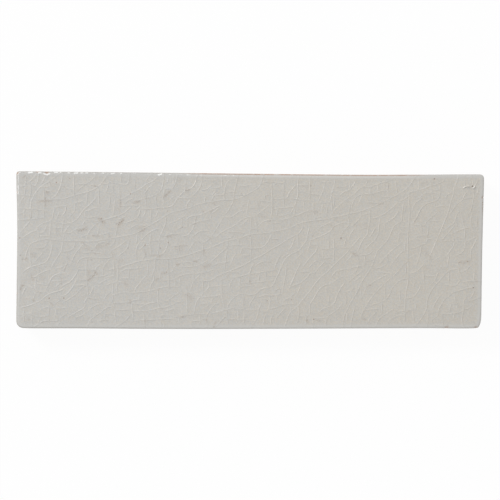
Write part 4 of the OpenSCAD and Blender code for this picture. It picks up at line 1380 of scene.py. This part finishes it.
def raised_lines():
    """A group: how high the nearest of some cracks lifts the skin, and the step from side to side."""
    lengths = {name: "length" for name in ("Height", "Width", "Lean", "Lean reach")}
    outputs = {"Lift": "number", "Step": "number"}
    tree, given, result = new_group("raised lines", {"Cracks": "object", **lengths}, outputs)
    place = flat_position(tree)
    geometry, index = nearest_point(tree, given["Cracks"], place)
    near = nearness(tree, geometry, place, "EDGES")
    distance = near.outputs["Distance"]

    strength = carried(tree, geometry, "strength", index)
    squared = maths(tree, "POWER", maths(tree, "DIVIDE", distance, given["Width"]), 2.0)
    bell = maths(tree, "EXPONENT", maths(tree, "MULTIPLY", squared, -1.0))
    ridge = maths(tree, "MULTIPLY", bell, strength)
    tree.links.new(maths(tree, "MULTIPLY", ridge, given["Height"]), result["Lift"])

    across = carried(tree, geometry, "across", index, "FLOAT_VECTOR")
    away = add(tree, "ShaderNodeVectorMath", {0: place, 1: near.outputs["Position"]}, operation="SUBTRACT")
    sideways = {0: away.outputs[0], 1: across}
    sideways = add(tree, "ShaderNodeVectorMath", sideways, operation="DOT_PRODUCT").outputs["Value"]
    whole = maths(tree, "ADD", maths(tree, "ABSOLUTE", sideways), given["Width"])
    side = maths(tree, "DIVIDE", sideways, whole)
    falling = maths(tree, "DIVIDE", distance, maths(tree, "MULTIPLY", given["Lean reach"], -1.0))
    fade = maths(tree, "EXPONENT", falling)
    lean = maths(tree, "MULTIPLY", carried(tree, geometry, "lean", index), given["Lean"])
    lean = maths(tree, "MULTIPLY", lean, strength)
    step = maths(tree, "MULTIPLY", maths(tree, "MULTIPLY", side, fade), lean)
    tree.links.new(step, result["Step"])
    return tree


def dents():
    """A group: how deep the nearest mark presses the skin in, and how brown it makes it."""
    outputs = {"Dent": "number", "Brown": "number"}
    tree, given, result = new_group("dents", {"Marks": "object"}, outputs)
    place = flat_position(tree)
    geometry, index = nearest_point(tree, given["Marks"], place)
    near = nearness(tree, geometry, place, "POINTS")
    share = maths(tree, "DIVIDE", near.outputs["Distance"], carried(tree, geometry, "radius", index))
    deep = maths(tree, "MULTIPLY", ranged(tree, share, 1.0, 0.2), carried(tree, geometry, "depth", index))
    edge = maths(tree, "POWER", maths(tree, "MULTIPLY", maths(tree, "SUBTRACT", share, 1.15), 3.0), 2.0)
    ring = maths(tree, "EXPONENT", maths(tree, "MULTIPLY", edge, -1.0))
    high = maths(tree, "MULTIPLY", ring, carried(tree, geometry, "ring", index))
    tree.links.new(maths(tree, "SUBTRACT", deep, high), result["Dent"])
    brown = maths(tree, "MULTIPLY", ranged(tree, share, 1.15, 0.4), carried(tree, geometry, "brown", index))
    tree.links.new(brown, result["Brown"])
    return tree


def strokes():
    """A group: how strongly the nearest stroke marks the skin, for stains, painted shade and painted glints
    alike.
    """
    tree, given, result = new_group("strokes", {"Marks": "object"}, {"Brown": "number"})
    place = flat_position(tree)
    geometry, index = nearest_point(tree, given["Marks"], place)
    near = nearness(tree, geometry, place, "EDGES")
    share = maths(tree, "DIVIDE", near.outputs["Distance"], carried(tree, geometry, "radius", index))
    bell = maths(tree, "EXPONENT", maths(tree, "MULTIPLY", maths(tree, "POWER", share, 2.0), -0.8))
    tree.links.new(maths(tree, "MULTIPLY", bell, carried(tree, geometry, "brown", index)), result["Brown"])
    return tree


line_group, dent_group, stroke_group = raised_lines(), dents(), strokes()


# %% The tree that dresses the skin
nick_reach = 0.5 * MM


def noise_field(tree, wavelength, seed, detail=2.0):
    """Noise from 0 to 1 in the tile's own space."""
    inputs = {"W": seed, "Scale": maths(tree, "DIVIDE", 1.0, wavelength), "Detail": detail}
    return add(tree, "ShaderNodeTexNoise", inputs, noise_dimensions="4D").outputs[0]


def use(tree, group, inputs):
    """A node that runs one of the small groups."""
    node = tree.nodes.new("GeometryNodeGroup")
    node.node_tree = group
    for name, socket in inputs.items():
        tree.links.new(socket, node.inputs[name])
    return node.outputs


def carried_here(tree, name):
    """The share that the skin's own points carry under a name."""
    value = add(tree, "GeometryNodeInputNamedAttribute", {"Name": name}, data_type="FLOAT")
    return value.outputs["Attribute"]


def tile_relief():
    """The tree, and the identifiers of its named inputs."""
    tree = bpy.data.node_groups.new("tile relief", "GeometryNodeTree")
    identifiers = interface(tree, "INPUT", {
        "Skin": "geometry", "Long cracks": "object", "Branches": "object", "Hairlines": "object",
        "Blister": "object", "Pits": "object", "Nicks": "object", "Stains and shade": "object",
        "Beads with glint": "object", "Bead height": "length",
        "Long height": "length", "Branch height": "length", "Hairline height": "length",
        "Blister height": "length", "Crack width": "length", "Hairline width": "length",
        "Lean height": "length", "Lean reach": "length",
        "Face wave height": "length", "Face wavelength": "length",
        "Clay roughness": "length", "Clay wavelength": "length", "Seed": "number",
        "Glaze": "material", "Clay": "material",
    })
    interface(tree, "OUTPUT", {"Tile": "geometry"})
    given, result = add(tree, "NodeGroupInput").outputs, add(tree, "NodeGroupOutput").inputs

    lift, step = None, None
    for cracks, height, width in (
        ("Long cracks", "Long height", "Crack width"), ("Branches", "Branch height", "Crack width"),
        ("Hairlines", "Hairline height", "Hairline width"), ("Blister", "Blister height", "Crack width"),
    ):
        lines = use(tree, line_group, {
            "Cracks": given[cracks], "Height": given[height], "Width": given[width],
            "Lean": given["Lean height"], "Lean reach": given["Lean reach"],
        })
        lift = maths(tree, "MAXIMUM", lift, lines["Lift"]) if lift else lines["Lift"]
        step = maths(tree, "ADD", step, lines["Step"]) if step else lines["Step"]
    wave = maths(tree, "SUBTRACT", noise_field(tree, given["Face wavelength"], given["Seed"]), 0.5)
    wave = maths(tree, "MULTIPLY", wave, given["Face wave height"])
    pit = use(tree, dent_group, {"Marks": given["Pits"]})
    bead = use(tree, stroke_group, {"Marks": given["Beads with glint"]})
    high_glaze = maths(tree, "MAXIMUM", bead["Brown"], carried_here(tree, "welt"))
    lift = maths(tree, "ADD", lift, maths(tree, "MULTIPLY", high_glaze, given["Bead height"]))
    relief = maths(tree, "SUBTRACT", maths(tree, "ADD", maths(tree, "ADD", lift, step), wave), pit["Dent"])
    relief = maths(tree, "MULTIPLY", relief, carried_here(tree, "facing"))

    is_clay = carried_here(tree, "clay")
    rough = noise_field(tree, given["Clay wavelength"], given["Seed"], 3.0)
    rough = maths(tree, "MULTIPLY", maths(tree, "MULTIPLY", rough, given["Clay roughness"]), is_clay)
    position = add(tree, "GeometryNodeInputPosition").outputs[0]
    up = add(tree, "ShaderNodeSeparateXYZ", {0: position}).outputs["Z"]
    nick = use(tree, dent_group, {"Marks": given["Nicks"]})
    at_rim = ranged(tree, up, rim_base_z - nick_reach, rim_base_z + nick_reach)
    dent = maths(tree, "MULTIPLY", nick["Dent"], at_rim)
    relief = maths(tree, "SUBTRACT", relief, maths(tree, "ADD", rough, dent))
    normal = add(tree, "GeometryNodeInputNormal").outputs[0]
    offset = add(tree, "ShaderNodeVectorMath", {0: normal, "Scale": relief}, operation="SCALE").outputs[0]

    chipped = maths(tree, "MULTIPLY", nick["Brown"], at_rim)
    bare_now = maths(tree, "MAXIMUM", carried_here(tree, "bare"), chipped)
    # Stains of dirt and a few strokes of painted shade, kept off the side below the rim.
    stain_and_shade = maths(tree, "MULTIPLY", use(tree, stroke_group, {"Marks": given["Stains and shade"]})["Brown"], at_rim)
    dirt = maths(tree, "MAXIMUM", stain_and_shade, maths(tree, "MULTIPLY", chipped, 0.6))
    # Painted glint where the beads lie.
    painted_glint_share = maths(tree, "MULTIPLY", bead["Brown"], at_rim)
    geometry = given["Skin"]
    for name, value in (("bare", bare_now), ("dirt", dirt), ("speck", pit["Brown"]), ("bead", painted_glint_share)):
        inputs = {"Name": name, "Geometry": geometry, "Value": value}
        store = add(tree, "GeometryNodeStoreNamedAttribute", inputs, data_type="FLOAT", domain="POINT")
        geometry = store.outputs["Geometry"]
    clay_faces = maths(tree, "GREATER_THAN", is_clay, 0.5)
    for kind, inputs in (
        ("GeometryNodeSetPosition", {"Offset": offset}),
        ("GeometryNodeRealizeInstances", {}),
        ("GeometryNodeSetMaterial", {"Material": given["Glaze"]}),
        ("GeometryNodeSetMaterial", {"Material": given["Clay"], "Selection": clay_faces}),
    ):
        geometry = add(tree, kind, {"Geometry": geometry, **inputs}).outputs["Geometry"]
    tree.links.new(geometry, result["Tile"])
    return tree, identifiers


# %% Dress the skin
relief_values = {
    **helpers,
    "Long height": 0.063 * MM, "Branch height": 0.066 * MM, "Hairline height": 0.061 * MM,
    "Blister height": 0.22 * MM, "Bead height": 0.06 * MM,
    "Crack width": 0.12 * MM, "Hairline width": 0.125 * MM,
    "Lean height": 0.012 * MM, "Lean reach": 0.7 * MM,
    "Face wave height": 0.12 * MM, "Face wavelength": 14 * MM,
    "Clay roughness": 0.16 * MM, "Clay wavelength": 2.6 * MM, "Seed": 7.0,
    "Glaze": glaze, "Clay": bare_clay,
}
relief_tree, relief_inputs = tile_relief()
dressing = skin.modifiers.new("relief", "NODES")
dressing.node_group = relief_tree
for name, value in relief_values.items():
    dressing[relief_inputs[name]] = value

dressed = skin.evaluated_get(bpy.context.evaluated_depsgraph_get())
tile_mesh = bpy.data.meshes.new_from_object(dressed)
tile_mesh.name = "glazed_tile"
glazed_tile = bpy.data.objects.new("glazed_tile", tile_mesh)
bpy.context.scene.collection.objects.link(glazed_tile)
skin.modifiers.remove(dressing)
for helper in [skin, *helpers.values()]:
    bpy.data.objects.remove(helper)

tile_mesh.calc_loop_triangles()
print("tile:", len(tile_mesh.loop_triangles), "triangles,", [m.name for m in tile_mesh.materials],
      [a.name for a in tile_mesh.attributes])

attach(glazed_tile, "root")
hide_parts("tile")

# %% [markdown]
# ## Floor and light
# The tile lies on a white floor. Seen by the camera the floor is nearly all its own light, so it
# stays as white as the photograph's ground, and a share of plain diffuse keeps the soft shadow.
# Seen from below the floor lets the view through, so the back can be looked at. The light that
# the floor would send back up comes from the lower half of the world, which reaches the back too.
#
# The key light stands to the upper left, which is what makes the upper left side of every ridge
# bright and its lower right side dark. The world fills the rest. Together they give about as much
# light as makes a colour render as it is written.


# %% The floor
def seen_directly(tree):
    """One for a ray that shows the ground itself, in the picture or in a gloss, and 0 for other light."""
    rays = add(tree, "ShaderNodeLightPath").outputs
    seen = maths(tree, "MAXIMUM", rays["Is Camera Ray"], rays["Is Glossy Ray"])
    return maths(tree, "MAXIMUM", seen, rays["Is Transmission Ray"])


def floor_finish():
    """White for the camera, with the tile's shadow on it."""
    material, tree, shader, place = new_material("white floor")
    shader.inputs["Base Color"].default_value = colour(246, 246, 246)
    shader.inputs["Roughness"].default_value = 0.9
    white = add(tree, "ShaderNodeEmission", {"Strength": 1.0}).outputs[0]
    share = maths(tree, "MULTIPLY", seen_directly(tree), 0.95)
    lit = add(tree, "ShaderNodeMixShader", {0: share, 1: shader.outputs[0], 2: white}).outputs[0]
    below = add(tree, "ShaderNodeNewGeometry").outputs["Backfacing"]
    clear = add(tree, "ShaderNodeBsdfTransparent").outputs[0]
    both = add(tree, "ShaderNodeMixShader", {0: below, 1: lit, 2: clear}).outputs[0]
    output = next(node for node in tree.nodes if node.type == "OUTPUT_MATERIAL")
    tree.links.new(both, output.inputs["Surface"])
    return material


floor_half = 3.0
floor_z = -0.02 * MM
floor_mesh = bpy.data.meshes.new("floor")
corner_signs = ((-1, -1), (1, -1), (1, 1), (-1, 1))
floor_corners = [(i * floor_half, j * floor_half, floor_z) for i, j in corner_signs]
floor_mesh.from_pydata(floor_corners, [], [(0, 1, 2, 3)])
floor_mesh.materials.append(floor_finish())
floor = bpy.data.objects.new("floor", floor_mesh)
floor.visible_diffuse = False
floor.visible_shadow = False
bpy.context.scene.collection.objects.link(floor)

# %% The lights
def studio_world(zenith, horizon, ground, turn_low, turn_high):
    """A white room with walls brighter than its ceiling, and plain white wherever it is seen."""
    world = bpy.data.worlds.new("studio")
    world.use_nodes = True
    tree = world.node_tree
    direction = add(tree, "ShaderNodeTexCoord").outputs["Generated"]
    up = add(tree, "ShaderNodeSeparateXYZ", {"Vector": direction}).outputs["Z"]
    background = next(node for node in tree.nodes if node.type == "BACKGROUND")
    background.inputs["Color"].default_value = (1, 1, 1, 1)
    light = ranged(tree, up, turn_low, turn_high, horizon, zenith)
    light = maths(tree, "MULTIPLY", light, ranged(tree, up, -0.05, 0.0, ground / horizon, 1.0))
    tree.links.new(ranged(tree, seen_directly(tree), 0.0, 1.0, light, 1.0), background.inputs["Strength"])
    return world


def soft_key(place, size, power):
    """A round soft box that faces the tile."""
    data = bpy.data.lights.new("key", "AREA")
    data.shape = "DISK"
    data.size = size
    data.energy = power
    key = bpy.data.objects.new("key", data)
    key.location = place
    key.rotation_euler = (-place).to_track_quat("-Z", "Y").to_euler()
    bpy.context.scene.collection.objects.link(key)
    return key


bpy.context.scene.world = studio_world(zenith=0.465, horizon=1.33, ground=0.92, turn_low=0.1, turn_high=0.6)
key = soft_key(Vector((-1.45, 1.25, 1.55)), size=0.8, power=33)
bpy.context.scene.view_settings.view_transform = "Standard"
print("key", key.data.energy, "W at", [round(c, 2) for c in key.location])
